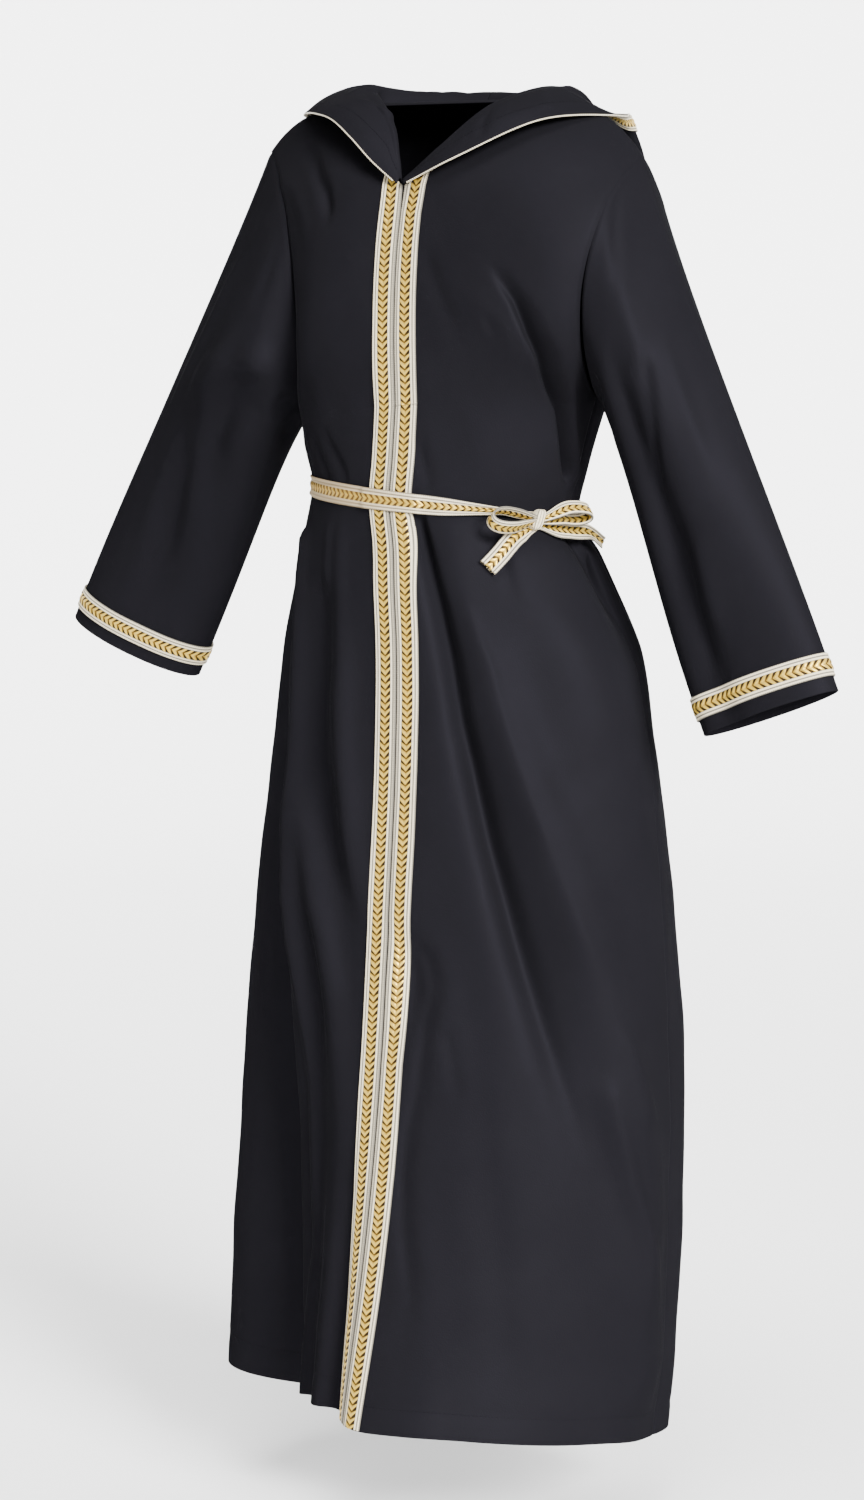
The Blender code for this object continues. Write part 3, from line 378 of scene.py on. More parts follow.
def fold_height(angle, z):
    """The sum of the big folds: a bell across each, its centre on a curve down the body."""
    height = np.zeros(z.shape)
    for top_at, middle, foot, a0, a1, a2, h0, h1, h2, width in FOLDS:
        stops = (-top_at, -middle, -foot)
        centre = through(stops, (a0, a1, a2), -z)
        size = through(stops, (h0, h1, h2), -z)
        ends = smooth(top_at + FOLD_END, top_at - FOLD_END, z)
        if foot > HEM:
            ends = ends * smooth(foot - 2 * FOLD_END, foot, z)
        away = (angle - centre + 180.0) % 360.0 - 180.0
        height = height + ends * size * np.exp(-(away / width) ** 2)
    return height


def line_bells(round_at, down_at, lines):
    """The sum of bells across lines: each by the distance to the line's nearest place."""
    height = np.zeros(np.broadcast_shapes(round_at.shape, down_at.shape))
    for size, near, far, start_fade, end_fade, stops in lines:
        stops = np.asarray(stops, float)
        best = np.full(height.shape, np.inf)
        side = np.zeros(height.shape)
        along = np.zeros(height.shape)
        for k, (start, step) in enumerate(zip(stops, np.diff(stops, axis=0))):
            f = np.clip(((round_at - start[0]) * step[0] + (down_at - start[1]) * step[1])
                        / (step @ step), 0.0, 1.0)
            out_round = round_at - start[0] - f * step[0]
            out_down = down_at - start[1] - f * step[1]
            away = np.hypot(out_round, out_down)
            nearer = away < best
            side = np.where(nearer, step[0] * out_down - step[1] * out_round, side)
            along = np.where(nearer, (k + f) / (len(stops) - 1), along)
            best = np.minimum(away, best)
        width = near + (far - near) * smooth(-1.0, 1.0, side / (near * 0.02))
        ends = smooth(0.0, start_fade, along) * smooth(1.0, 1.0 - end_fade, along)
        height = height + size * ends * np.exp(-(best / width) ** 2)
    return height


def crease_height(angle, z):
    """The creases, measured on a cylinder of the body's mean radius, and the ripples."""
    height = np.zeros(z.shape)
    for size, near, far, start_fade, end_fade, stops in CREASES:
        size = size * CREASE_DEEP
        first = stops[0][0]
        turned_to = np.radians((angle - first + 180.0) % 360.0 - 180.0 + first)
        line = [(math.radians(a) * CREASE_RADIUS, level) for a, level in stops]
        height = height + line_bells(turned_to * CREASE_RADIUS, z,
                                     ((size, near, far, start_fade, end_fade, line),))
    round_at = np.radians(angle) * CREASE_RADIUS
    calm = smooth(*RIPPLE_START, np.abs(angle))
    for size, turns, falls, phase in RIPPLES:
        height = height + calm * size * np.sin(2 * np.pi * (turns * round_at + falls * z) + phase)
    return height * smooth(*BELT_GRIP, np.abs(z - WAIST)) ** 0.5


def draped(points, creases=True, ease=()):
    """Body points moved out by folds and creases, level or up over the shoulders.

    ease holds a panel's rows and places, and the folded grid is averaged by them first.
    """
    for step, height_at in enumerate((fold_height, crease_height)[:2 if creases else 1]):
        if step and ease:
            points = eased(points, *ease)
        z = points[..., 2]
        angle = np.degrees(np.arctan2(points[..., 0], -points[..., 1]))
        away = np.array(points)
        away[..., 2] = np.maximum(z - FOLD_LEAN, 0.0)
        points = points + unit(away) * height_at(angle, z)[..., None]
    return points


def ring_points(level, angle):
    """Plain points below the underarm: half ellipses in front and behind at each level."""
    half_width, front, behind, shift = falling(BODY, level)
    turn = np.radians(angle)
    depth = np.where(np.cos(turn) > 0, front, behind)
    hem = column(HEM_LINE, (angle + 180.0) % 360.0 - 180.0)[0] * smooth(-0.78, HEM, level)
    return np.stack([shift + half_width * np.sin(turn), -depth * np.cos(turn),
                     level + falling(TILT, level)[0] * np.sin(turn) + hem], axis=-1)


def armhole(side, face, row):
    """The armhole edge in front (face -1) or behind (face 1), underarm to shoulder tip."""
    tip = np.array(SHOULDER_TIP[side])
    foot = np.array((BODY[0][1], 0.0, UNDERARM + UNDERARM_RISE[side]))
    way = np.array((1, face, 1))
    which = side if face < 0 else 1
    return pulled(foot, np.array(ARMHOLE_FOOT_PULL[which]) * way, tip,
                  np.array(ARMHOLE_TIP_PULL[which]) * way, row)


def centre_edge(face, row):
    """The centre line up to the neck, and then the neckline round to the neck's side."""
    table = CENTRE_FRONT if face < 0 else CENTRE_BACK
    start = NECK_FRONT if face < 0 else NAPE
    depth, height = column(table, row)
    middle = np.stack([np.zeros(np.shape(row)), depth, height], axis=-1)
    along = np.clip((row - NECK_ROW) / (1.0 - NECK_ROW), 0.0, 1.0)
    neck = pulled(np.array(start), np.array(NECKLINE_START_PULL[face]), np.array(NECK_SIDE),
                  np.array(NECKLINE_END_PULL[face]), along)
    return np.where((row > NECK_ROW)[..., None], neck, middle)


def yoke_points(side, face, row, across):
    """Cubic rows from the centre edge (across 0) to the armhole (across 1)."""
    pulls = np.array(column(FRONT_PULLS if face < 0 else BACK_PULLS, row))
    for place, rise in zip((2, 5), SHOULDER_RISE[side]):
        pulls[place] += rise * smooth(0.5, 1.0, row)
    points = pulled(centre_edge(face, row), np.moveaxis(pulls[:3], 0, -1),
                    armhole(side, face, row), np.moveaxis(pulls[3:], 0, -1), across)
    points[..., 0] = points[..., 0] * side + BODY[0][4] * (1.0 - row) ** 2
    return points


def panel(side, face, place, across):
    """Plain points: place is a level under the underarm, or a yoke row from 0 to 1."""
    place, across = np.broadcast_arrays(np.asarray(place, float), np.asarray(across, float))
    level = np.minimum(place, UNDERARM)
    seams = falling(SIDE_SEAMS, level)
    seam = seams[0] if side > 0 else -seams[1]
    centre = 0.0 if face < 0 else 180.0
    ring = ring_points(level, side * (centre + (seam - centre) * across))
    row = np.maximum(place, 0.0)
    yoke = yoke_points(side, face, row, across)
    step = ring - yoke_points(side, face, np.zeros(row.shape), across)
    yoke = yoke + step * smooth(YOKE_BLEND, 0.0, row)[..., None]
    return np.where((place > 0.0)[..., None], yoke, ring)


def eased(grid, rows, across):
    """A grid averaged down its columns near the underarm, away from both edges."""
    level = np.where(rows > 0.0, UNDERARM + rows * YOKE_HIGH, rows)
    share = (smooth(EASE_REACH, 0.3 * EASE_REACH, np.abs(level - UNDERARM))
             * smooth(*EASE_CENTRE, across) * smooth(*EASE_SEAM, across))[..., None]
    for _ in range(EASE_ROUNDS):
        mean = grid[1:-1] * 0.5 + (grid[:-2] + grid[2:]) * 0.25
        grid = np.concatenate([grid[:1], grid[1:-1] + (mean - grid[1:-1]) * share[1:-1],
                               grid[-1:]])
    return grid


def normals_of(grid, closed=False):
    """Unit normals on a grid: the step down a column crossed with the step along a row."""
    if closed:
        wide = np.concatenate([grid[:, -1:], grid, grid[:, :1]], axis=1)
        along = wide[:, 2:] - wide[:, :-2]
    else:
        along = np.gradient(grid, axis=1)
    return unit(np.cross(np.gradient(grid, axis=0), along))


def run_of(grid, axis):
    """The distance along a grid's rows (axis 1) or columns (axis 0) from their start."""
    steps = np.linalg.norm(np.diff(grid, axis=axis), axis=-1)
    start = np.zeros_like(np.take(steps, [0], axis=axis))
    return np.concatenate([start, np.cumsum(steps, axis=axis)], axis=axis)


def seamed(grid, edges, closed=False):
    """A grid sunk in a soft groove along the named edges, and along the hem's stitches."""
    normals = normals_of(grid, closed)
    rows, columns = run_of(grid, 1), run_of(grid, 0)
    away = {"first": rows, "last": rows[:, -1:] - rows, "start": columns,
            "hem": (columns[-1:] - columns - HEM_DEEP) * 1.2}
    dip = sum(np.exp(-(away[edge] / SEAM_REACH) ** 2) for edge in edges)
    return grid - normals * (SEAM_DIP * np.minimum(dip, 1.0))[..., None]


def row_up(grid, up):
    """The grid row whose mean distance from the last row is nearest to up."""
    lengths = run_of(grid, 0)
    return int(np.argmin(np.abs(lengths[-1].mean() - lengths.mean(axis=1) - up)))


def turned_up(grid, deep, closed=False):
    """A grid with its last row carried round a half circle and back up the inside."""
    normals = normals_of(grid, closed)
    down = unit(grid[-1] - grid[-4])
    radius = HEM_OPEN / 2
    bends = [grid[-1] + down * radius * math.sin(turn)
             - normals[-1] * radius * (1 - math.cos(turn))
             for turn in np.linspace(0.0, math.pi, 7)[1:]]
    inner = [row_up(grid, up) for up in np.linspace(0.0, deep, 8)[1:]]
    return np.concatenate([grid, bends, grid[inner] - normals[inner] * HEM_OPEN])


def new_piece(name, points, faces, finish, soft=True):
    """An object whose mesh holds the points and faces, with one finish."""
    mesh = bpy.data.meshes.new(name)
    mesh.from_pydata(points.reshape(-1, 3).tolist(), [], faces)
    if soft:
        mesh.shade_smooth()
    mesh.materials.append(finish)
    piece = bpy.data.objects.new(name, mesh)
    bpy.context.scene.collection.objects.link(piece)
    return piece


def grid_faces(index, columns, caps, flipped):
    """Quads between a grid's neighbours, and its first and last rows as end faces."""
    faces = np.stack([index[:-1, :-1], index[1:, :-1], index[1:, 1:], index[:-1, 1:]],
                     axis=-1).reshape(-1, 4).tolist()
    if caps:
        faces += [index[0, :columns].tolist(), index[-1, :columns][::-1].tolist()]
    return [face[::-1] for face in faces] if flipped else faces


def mesh_piece(name, grid, finish, uv, closed=False, flipped=False, tube=False, caps=False):
    """A mesh of quads on a grid of points, with uv as its UV map in metres.

    closed joins the last column to the first, tube joins the last row to the first, caps
    fills the first and last rows' rings, and flipped turns the faces round. The uv grid has
    a column or row more than the points where they are joined.
    """
    columns = grid.shape[1]
    index = np.arange(grid.shape[0] * columns).reshape(-1, columns)
    if closed:
        index = np.concatenate([index, index[:, :1]], axis=1)
    if tube:
        index = np.concatenate([index, index[:1]], axis=0)
    piece = new_piece(name, grid, grid_faces(index, columns, caps, flipped), finish)
    corners = grid_faces(np.arange(uv.shape[0] * uv.shape[1]).reshape(uv.shape[:2]), columns,
                         caps, flipped)
    corners = np.array([corner for face in corners for corner in face])
    piece.data.uv_layers.new(name="UVMap").data.foreach_set(
        "uv", uv.reshape(-1, 2)[corners].ravel())
    return piece


def on_body(piece, slot, node=None, **cut):
    """A finished piece joined to the body, with the solid it stands for hidden."""
    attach(piece, "root")
    if node:
        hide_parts(node)


def add_node(tree, kind, settings, sockets, output=0):
    """A shader node of a kind: its settings first, then its sockets' values or links."""
    node = tree.nodes.new(kind)
    for key, value in settings.items():
        setattr(node, key, value)
    for key, value in sockets.items():
        if isinstance(value, Wire):
            tree.links.new(value.socket, node.inputs[key])
        else:
            node.inputs[key].default_value = value
    return Wire(tree, node.outputs[output])


class Wire:
    """A shader value that Python sums and products turn into Math nodes."""

    def __init__(self, tree, socket):
        self.tree = tree
        self.socket = socket

    def math(self, operation, *others, swap=False):
        """The Math node of an operation on this value and others, as a new value."""
        terms = (self, *others)
        return add_node(self.tree, "ShaderNodeMath", {"operation": operation},
                        dict(enumerate(reversed(terms) if swap else terms)))

    def __add__(self, other):
        return self.math("ADD", other)

    def __sub__(self, other):
        return self.math("SUBTRACT", other)

    def __rsub__(self, other):
        return self.math("SUBTRACT", other, swap=True)

    def __mul__(self, other):
        return self.math("MULTIPLY", other)

    def __truediv__(self, other):
        return self.math("DIVIDE", other)

    def __pow__(self, other):
        return self.math("POWER", other)

    def __abs__(self):
        return self.math("ABSOLUTE")

    __radd__ = __add__
    __rmul__ = __mul__

    def part(self):
        """The part after the whole number."""
        return self.math("FRACT")

    def ramp(self, low, high):
        """0 at low and 1 at high, with a soft start and end."""
        return add_node(self.tree, "ShaderNodeMapRange", {"interpolation_type": "SMOOTHSTEP"},
                        {"Value": self, "From Min": low, "From Max": high})


class Finish:
    """A material with one Principled shader, and the nodes that vary over its surface."""

    def __init__(self, name, **constants):
        self.material = bpy.data.materials.new(name)
        self.material.use_nodes = True
        self.tree = self.material.node_tree
        self.shader = self.tree.nodes["Principled BSDF"]
        for socket, value in constants.items():
            self.shader.inputs[socket.replace("_", " ")].default_value = value

    def add(self, kind, settings, sockets, output=0):
        """A node of this material, as add_node makes it."""
        return add_node(self.tree, kind, settings, sockets, output)

    def uv_place(self):
        """The piece's own UV map in metres."""
        return self.add("ShaderNodeUVMap", {"uv_map": "UVMap"}, {})

    def two_of(self, spot):
        """The first two values of a place."""
        return (self.add("ShaderNodeSeparateXYZ", {}, {"Vector": spot}, output=k)
                for k in (0, 1))

    def blend(self, factor, first, second):
        """A colour between two, by a factor from 0 to 1."""
        first, second = (c if isinstance(c, Wire) else (*c, 1.0) for c in (first, second))
        return self.add("ShaderNodeMix", {"data_type": "RGBA"}, {0: factor, 6: first, 7: second},
                        output=2)

    def noise(self, place, scale, detail=2.0):
        """Soft noise from 0 to 1, with its lumps 1/scale metres apart."""
        return self.add("ShaderNodeTexNoise", {}, {"Vector": place, "Scale": scale,
                                                   "Detail": detail})

    def relief(self, height, distance, strength=1.0):
        """A Bump node for a height from 0 to 1 over a distance in metres."""
        return self.add("ShaderNodeBump", {}, {"Height": height, "Distance": distance,
                                               "Strength": strength})

    def feed(self, **links):
        """Join values to the shader's sockets."""
        for socket, value in links.items():
            self.tree.links.new(value.socket, self.shader.inputs[socket.replace("_", " ")])


def make_crepe(name):
    """Matt crepe: fine uneven pebbles of twisted yarn, faint slubs and soft shade changes."""
    crepe = Finish(name, Metallic=0.25, Specular_Tint=(0.0, 0.0, 0.0, 1.0),
                   Specular_IOR_Level=0.0, Sheen_Weight=0.004, Sheen_Roughness=0.6)
    spot = crepe.uv_place()
    pebble = crepe.noise(spot, PEBBLES, 2.0)
    along = crepe.add("ShaderNodeVectorMath", {"operation": "MULTIPLY"}, {0: spot, 1: YARN})
    yarn = crepe.noise(along, 1.0, 1.0)
    patch = crepe.noise(spot, SHADES, 3.0)
    crepe.feed(Base_Color=crepe.blend(patch * 0.7 + pebble * 0.3, CREPE_DARK, CREPE_LIGHT),
               Roughness=0.50 + patch * 0.10 + yarn * 0.08,
               Normal=crepe.relief(pebble * 0.6 + yarn * 0.4, CREPE_RELIEF, 0.5))
    return crepe.material


def cloth_piece(name, grid, finish, node, closed=False, flipped=False, **cut):
    """A cloth shell: the grid is its outer face, and its wall grows to the inside."""
    u, v = run_of(grid, 1), run_of(grid, 0)
    if closed:
        last = np.linalg.norm(grid[:, :1] - grid[:, -1:], axis=-1) + u[:, -1:]
        u = np.concatenate([u, last], axis=1)
        v = np.concatenate([v, v[:, :1]], axis=1)
    piece = mesh_piece(name, grid, finish, np.stack([u, v], axis=-1), closed, flipped)
    wall = piece.modifiers.new("wall", "SOLIDIFY")
    wall.thickness = CLOTH_THICK
    wall.offset = -1.0
    on_body(piece, "black_crepe", node, **cut)


def panel_places(count):
    """Places across a panel: close by both edges, even between, and a little past the seam."""
    ends = np.array(SEAM_PLACES)
    middle = np.linspace(ends[-1], 1.0 - ends[-1], count)
    return np.concatenate([ends[:-1], middle, 1.0 - ends[:-1][::-1], (1.0 + SEAM_LAP,)])


def panel_rows(yoke, skirt):
    """Yoke rows from the shoulder down to the underarm, and levels on to the hem."""
    return np.concatenate([SHOULDER_ROWS, np.linspace(0.955, 0.004, yoke),
                           np.linspace(UNDERARM, HEM, skirt)])[:, None]


def bars_piece(name, spot, finish, slot, soft=True):
    """Many short bars as one mesh: spot holds the bars, each one's rings and their points."""
    count, rings, sides = spot.shape[:3]
    ring = np.arange(sides)
    first, after = sides * np.arange(rings - 1)[:, None], np.roll(ring, -1)
    walls = np.stack([first + ring, first + after, first + sides + after,
                      first + sides + ring], axis=-1).reshape(-1, 4)
    ends = np.stack([ring[::-1], ring + sides * (rings - 1)])
    start = rings * sides * np.arange(count)[:, None, None]
    faces = [face for part in (walls, ends)
             for face in (part + start).reshape(-1, part.shape[1]).tolist()]
    on_body(new_piece(name, spot, faces, finish, soft), slot)


def stitch_row(name, path, outward, finish, stitch, slot="black_crepe"):
    """A row of stitches as one mesh: short bars whose middles arch out and ends go in.

    Each bar has four rings of four points. Its rings lie along the path's direction, and
    each one is lifted by height times one less the square of its share of the way out.
    """
    pitch, length, radius, height = stitch
    run = run_of(path[:, None], 0)[:, 0]
    count = int(run[-1] / pitch)
    at = (np.arange(count) + 0.5) * run[-1] / count

    def read(values):
        """The path's values at each stitch's middle, by straight lines between them."""
        return np.stack([np.interp(at, run, column_of) for column_of in values.T], axis=1)
    centre, normal = read(path), unit(read(outward))
    along = unit(read(np.gradient(path, axis=0)))
    beside = unit(np.cross(normal, along))
    share = np.array((-1.0, -0.45, 0.45, 1.0))[None, :, None, None]
    turn = np.radians((45.0, 135.0, 225.0, 315.0))[None, None, :, None]
    thin = radius * (1.0 - 0.35 * share ** 2)
    spot = (centre[:, None, None] + along[:, None, None] * share * length / 2
            + normal[:, None, None] * (height * (1.0 - share ** 2) - radius * 0.6
                                       + thin * np.sin(turn))
            + beside[:, None, None] * thin * np.cos(turn))
    bars_piece(name, spot, finish, slot)


def hem_stitches(name, grid):
    """Black stitches along the top of a turned-up hem, on the grid's outer face."""
    row = row_up(grid, HEM_DEEP)
    stitch_row(name, grid[row], normals_of(grid)[row], black_thread, BLACK_STITCH)


black_crepe = make_crepe("black_crepe")
black_thread = Finish("black_thread", Base_Color=(0.0018, 0.0016, 0.0024, 1.0), Roughness=0.6,
                      Specular_IOR_Level=0.02).material
rows = panel_rows(*PANEL_ROWS)
across = panel_places(BACK_COLUMNS)[None]
halves = [draped(panel(side, 1, rows, across), ease=(rows, across)) for side in (1, -1)]
back_grid = np.concatenate([halves[0][:, ::-1], halves[1][:, 1:]], axis=1)
back_grid = seamed(back_grid, ("first", "last", "start", "hem"))
hem_stitches("back_hem_stitches", back_grid)
back_grid = turned_up(back_grid, HEM_DEEP)
cloth_piece("back_panel", back_grid, black_crepe, "back", flat=(0.66, 1.03), area=0.46,
            held="hung", rests_on=["front_left_panel", "front_right_panel"])


# ----- Fronts -----
# Two fronts of the same crepe, parted down the middle under the braid and sewn to the back
# at the shoulders and sides. Long soft folds fall from the belt on the wearer's left.
BOTH_SIDES = ((1, "left"), (-1, "right"))
FRONT_COLUMNS = 104
front_across = panel_places(FRONT_COLUMNS)[None]
for side, word in BOTH_SIDES:
    grid = draped(panel(side, -1, rows, front_across), ease=(rows, front_across))
    seam = "last"
    if side < 0:
        grid = grid[:, ::-1]
        seam = "first"
    grid = seamed(grid, (seam, "start", "hem"))
    hem_stitches(f"front_{word}_hem_stitches", grid)
    grid = turned_up(grid, HEM_DEEP)
    cloth_piece(f"front_{word}_panel", grid, black_crepe, f"front_{word}",
                flat=(0.35, 1.0), area=0.245, held="hung", rests_on=["back_panel"])


# ----- Sleeves -----
# Loose set-in sleeves with one seam under the arm, eased into the armhole, with a hem
# turned up inside the cuff under the braid.
CUFF_MIDDLE = {1: (0.277, -0.030, -0.455), -1: (0.3155, 0.050, -0.431)}
CUFF_EDGE_OUT = {1: (0.0515, 0.0, 0.0190), -1: (0.0575, 0.0, 0.0230)}
CUFF_DEPTH = 0.024
CUFF_BAND_WIDTH = 0.0178
CUFF_EDGE = 0.0105
CUFF_STRIP = CUFF_EDGE + CUFF_BAND_WIDTH
SLEEVE_RUN = {1: (0.397, -0.087, -0.914), -1: (0.496, 0.147, -0.856)}
SLEEVE_TOP_PULL = {1: (0.010, 0.0, -0.045), -1: (0.030, 0.0, -0.072)}
SLEEVE_FOOT_PULL = {1: (0.030, 0.0, -0.050), -1: (0.034, 0.0, -0.044)}
SLEEVE_FRONT_PULL = {1: (0.0, 0.0, 0.0), -1: (0.034, -0.030, 0.0)}
SLEEVE_FRONT = (95.0, 50.0)
SLEEVE_END_PULL = {1: 0.10, -1: 0.14}
# Folds: side, step of the top and foot, angle round from the top seam, height, half width.
SLEEVE_FOLDS = (
    (1, 0.30, 0.72, 104, 112, -0.009, 20),
    (1, 0.62, 1.05, 116, 119, -0.007, 18),
    (1, 0.10, 0.60, 60, 75, 0.004, 22),
    (1, 0.15, 0.90, 255, 250, -0.008, 24),
    (-1, 0.12, 0.50, 122, 60, 0.007, 16),
    (-1, 0.20, 0.60, 100, 110, -0.008, 18),
    (-1, 0.50, 0.95, 70, 96, -0.006, 20),
    (-1, 0.15, 0.90, 255, 250, -0.008, 24),
)
# Creases are measured on a tube of this length and radius.
SLEEVE_LENGTH = 0.42
SLEEVE_RADIUS = 0.052
SLEEVE_PLACES = 46
SLEEVE_STEPS = 112
# Creases: height, half width on each side, end fades, and stops as angles and steps.
SLEEVE_CREASES = {
    1: (
        (-0.0022, 0.009, 0.005, 0.2, 0.4, ((62, .33), (70, .406), (84, .475), (104, .544),
                                           (112, .64))),
        (0.0008, 0.009, 0.009, 0.3, 0.3, ((58, .15), (64, .28), (74, .42), (90, .50))),
        (-0.0014, 0.007, 0.005, 0.3, 0.3, ((100, .62), (108, .74), (114, .86), (118, .98))),
        (0.0012, 0.007, 0.008, 0.3, 0.3, ((86, .66), (94, .78), (100, .92))),
        (-0.0012, 0.008, 0.006, 0.2, 0.5, ((20, .02), (34, .07), (48, .14), (58, .24))),
        (0.0010, 0.009, 0.007, 0.3, 0.4, ((40, .35), (48, .50), (52, .66))),
        (-0.0018, 0.007, 0.006, 0.1, 0.4, ((150, .02), (140, .10), (132, .20))),
        (-0.0016, 0.006, 0.006, 0.1, 0.4, ((168, .03), (160, .14), (156, .26))),
        (0.0014, 0.008, 0.006, 0.3, 0.3, ((230, .10), (240, .26), (244, .44))),
        (-0.0014, 0.007, 0.008, 0.3, 0.3, ((270, .30), (266, .48), (262, .66))),
        (0.0012, 0.008, 0.007, 0.3, 0.3, ((290, .55), (284, .72), (280, .90))),
        (-0.0012, 0.007, 0.006, 0.2, 0.4, ((318, .04), (306, .12), (296, .24))),
    ),
    -1: (
        (0.0020, 0.007, 0.010, 0.3, 0.4, ((128, .10), (112, .20), (92, .32), (72, .46))),
        (-0.0018, 0.009, 0.006, 0.3, 0.4, ((138, .20), (124, .32), (110, .44), (100, .60))),
        (0.0014, 0.008, 0.009, 0.3, 0.3, ((60, .52), (66, .66), (72, .80), (78, .94))),
        (-0.0014, 0.007, 0.006, 0.3, 0.3, ((84, .56), (92, .70), (100, .88))),
        (-0.0014, 0.008, 0.006, 0.1, 0.5, ((60, .02), (72, .08), (86, .18))),
        (-0.0020, 0.006, 0.005, 0.1, 0.4, ((160, .03), (150, .12), (146, .24))),
        (-0.0016, 0.006, 0.005, 0.1, 0.4, ((172, .06), (168, .18), (165, .30))),
        (0.0012, 0.008, 0.007, 0.3, 0.3, ((30, .20), (34, .40), (36, .62))),
        (0.0014, 0.008, 0.006, 0.3, 0.3, ((236, .12), (242, .30), (246, .50))),
        (-0.0014, 0.007, 0.008, 0.3, 0.3, ((272, .28), (268, .50), (262, .72))),
        (-0.0012, 0.007, 0.006, 0.2, 0.4, ((312, .04), (302, .14), (294, .26))),
    ),
}


def sleeve_grid(side, places, steps):
    """Rings from the armhole to the cuff: each point runs on a cubic to its cuff place.

    The cuff is an ellipse, the last steps run straight down it, and the folds and creases
    stand up along the ring's normals.
    """
    front, behind = armhole(side, -1, places), armhole(side, 1, places)
    ring = np.concatenate([front[::-1], behind[1:-1]])
    angle = np.concatenate([180 * (1 - places[::-1]), 180 * (1 + places[1:-1])])
    ring[:, 0] = ring[:, 0] * side + BODY[0][4] * (1 - np.abs(1 - angle / 180)) ** 2
    ring = draped(ring)
    if side > 0:
        ring = np.roll(ring[::-1], 1, axis=0)
        angle = np.roll(angle[::-1], 1)
    mirror = np.array((side, 1.0, 1.0))
    run = unit(np.array(SLEEVE_RUN[side])) * mirror
    out = np.array(CUFF_EDGE_OUT[side]) * mirror
    fore = unit(np.cross(out, run)) * CUFF_DEPTH
    fore = fore * -np.sign(fore[1])
    turn = np.radians(angle)[:, None]
    cuff = np.array(CUFF_MIDDLE[side]) * mirror + np.cos(turn) * out + np.sin(turn) * fore
    over = 0.5 + 0.5 * np.cos(turn)
    fore_part = np.exp(-((angle - SLEEVE_FRONT[0]) / SLEEVE_FRONT[1]) ** 2)[:, None]
    start_pull = (over * np.array(SLEEVE_TOP_PULL[side])
                  + (1 - over) * np.array(SLEEVE_FOOT_PULL[side])
                  + fore_part * np.array(SLEEVE_FRONT_PULL[side])) * mirror
    steps = np.asarray(steps)[:, None]
    arm = pulled(ring, start_pull, cuff - run * CUFF_STRIP, -run * SLEEVE_END_PULL[side],
                 np.minimum(steps, 1.0))
    grid = arm + run * np.maximum(steps - 1.0, 0.0)[..., None]
    height = np.zeros(grid.shape[:2])
    for which, first_step, foot, first, last, size, width in SLEEVE_FOLDS:
        if which == side:
            along = (steps - first_step) / (foot - first_step)
            ends = smooth(-0.25, 0.25, along) * smooth(1.25, 0.75, along)
            away = (angle - first - (last - first) * along + 180) % 360 - 180
            height = height + ends * size * np.exp(-(away / width) ** 2)
    lines = [(CREASE_DEEP * line[0], *line[1:5], [(math.radians(a) * SLEEVE_RADIUS,
                                                   step * SLEEVE_LENGTH) for a, step in line[5]])
             for line in SLEEVE_CREASES[side]]
    height = height + line_bells(np.radians(angle)[None] * SLEEVE_RADIUS,
                                 np.minimum(steps, 1.0) * SLEEVE_LENGTH, lines)
    height = height * smooth(0.0, 0.15, steps)
    return grid + normals_of(grid, closed=True) * height[..., None]


sleeve_places = np.linspace(0.0, 1.0, SLEEVE_PLACES)
sleeve_steps = np.concatenate([(0.002, 0.006, 0.011, 0.018), np.linspace(0.027, 1.0, SLEEVE_STEPS),
                               1.0 + np.linspace(0.0, CUFF_STRIP, 9)[1:]])
for side, word in BOTH_SIDES:
    grid = seamed(sleeve_grid(side, sleeve_places, sleeve_steps), ("start",), closed=True)
    grid = turned_up(grid, CUFF_STRIP, closed=True)
    cloth_piece(f"sleeve_{word}_panel", grid, black_crepe, f"sleeve_{word}", closed=True,
                flat=(0.36, 0.50), area=0.127, held="hung",
                rests_on=[f"front_{word}_panel", "back_panel"])


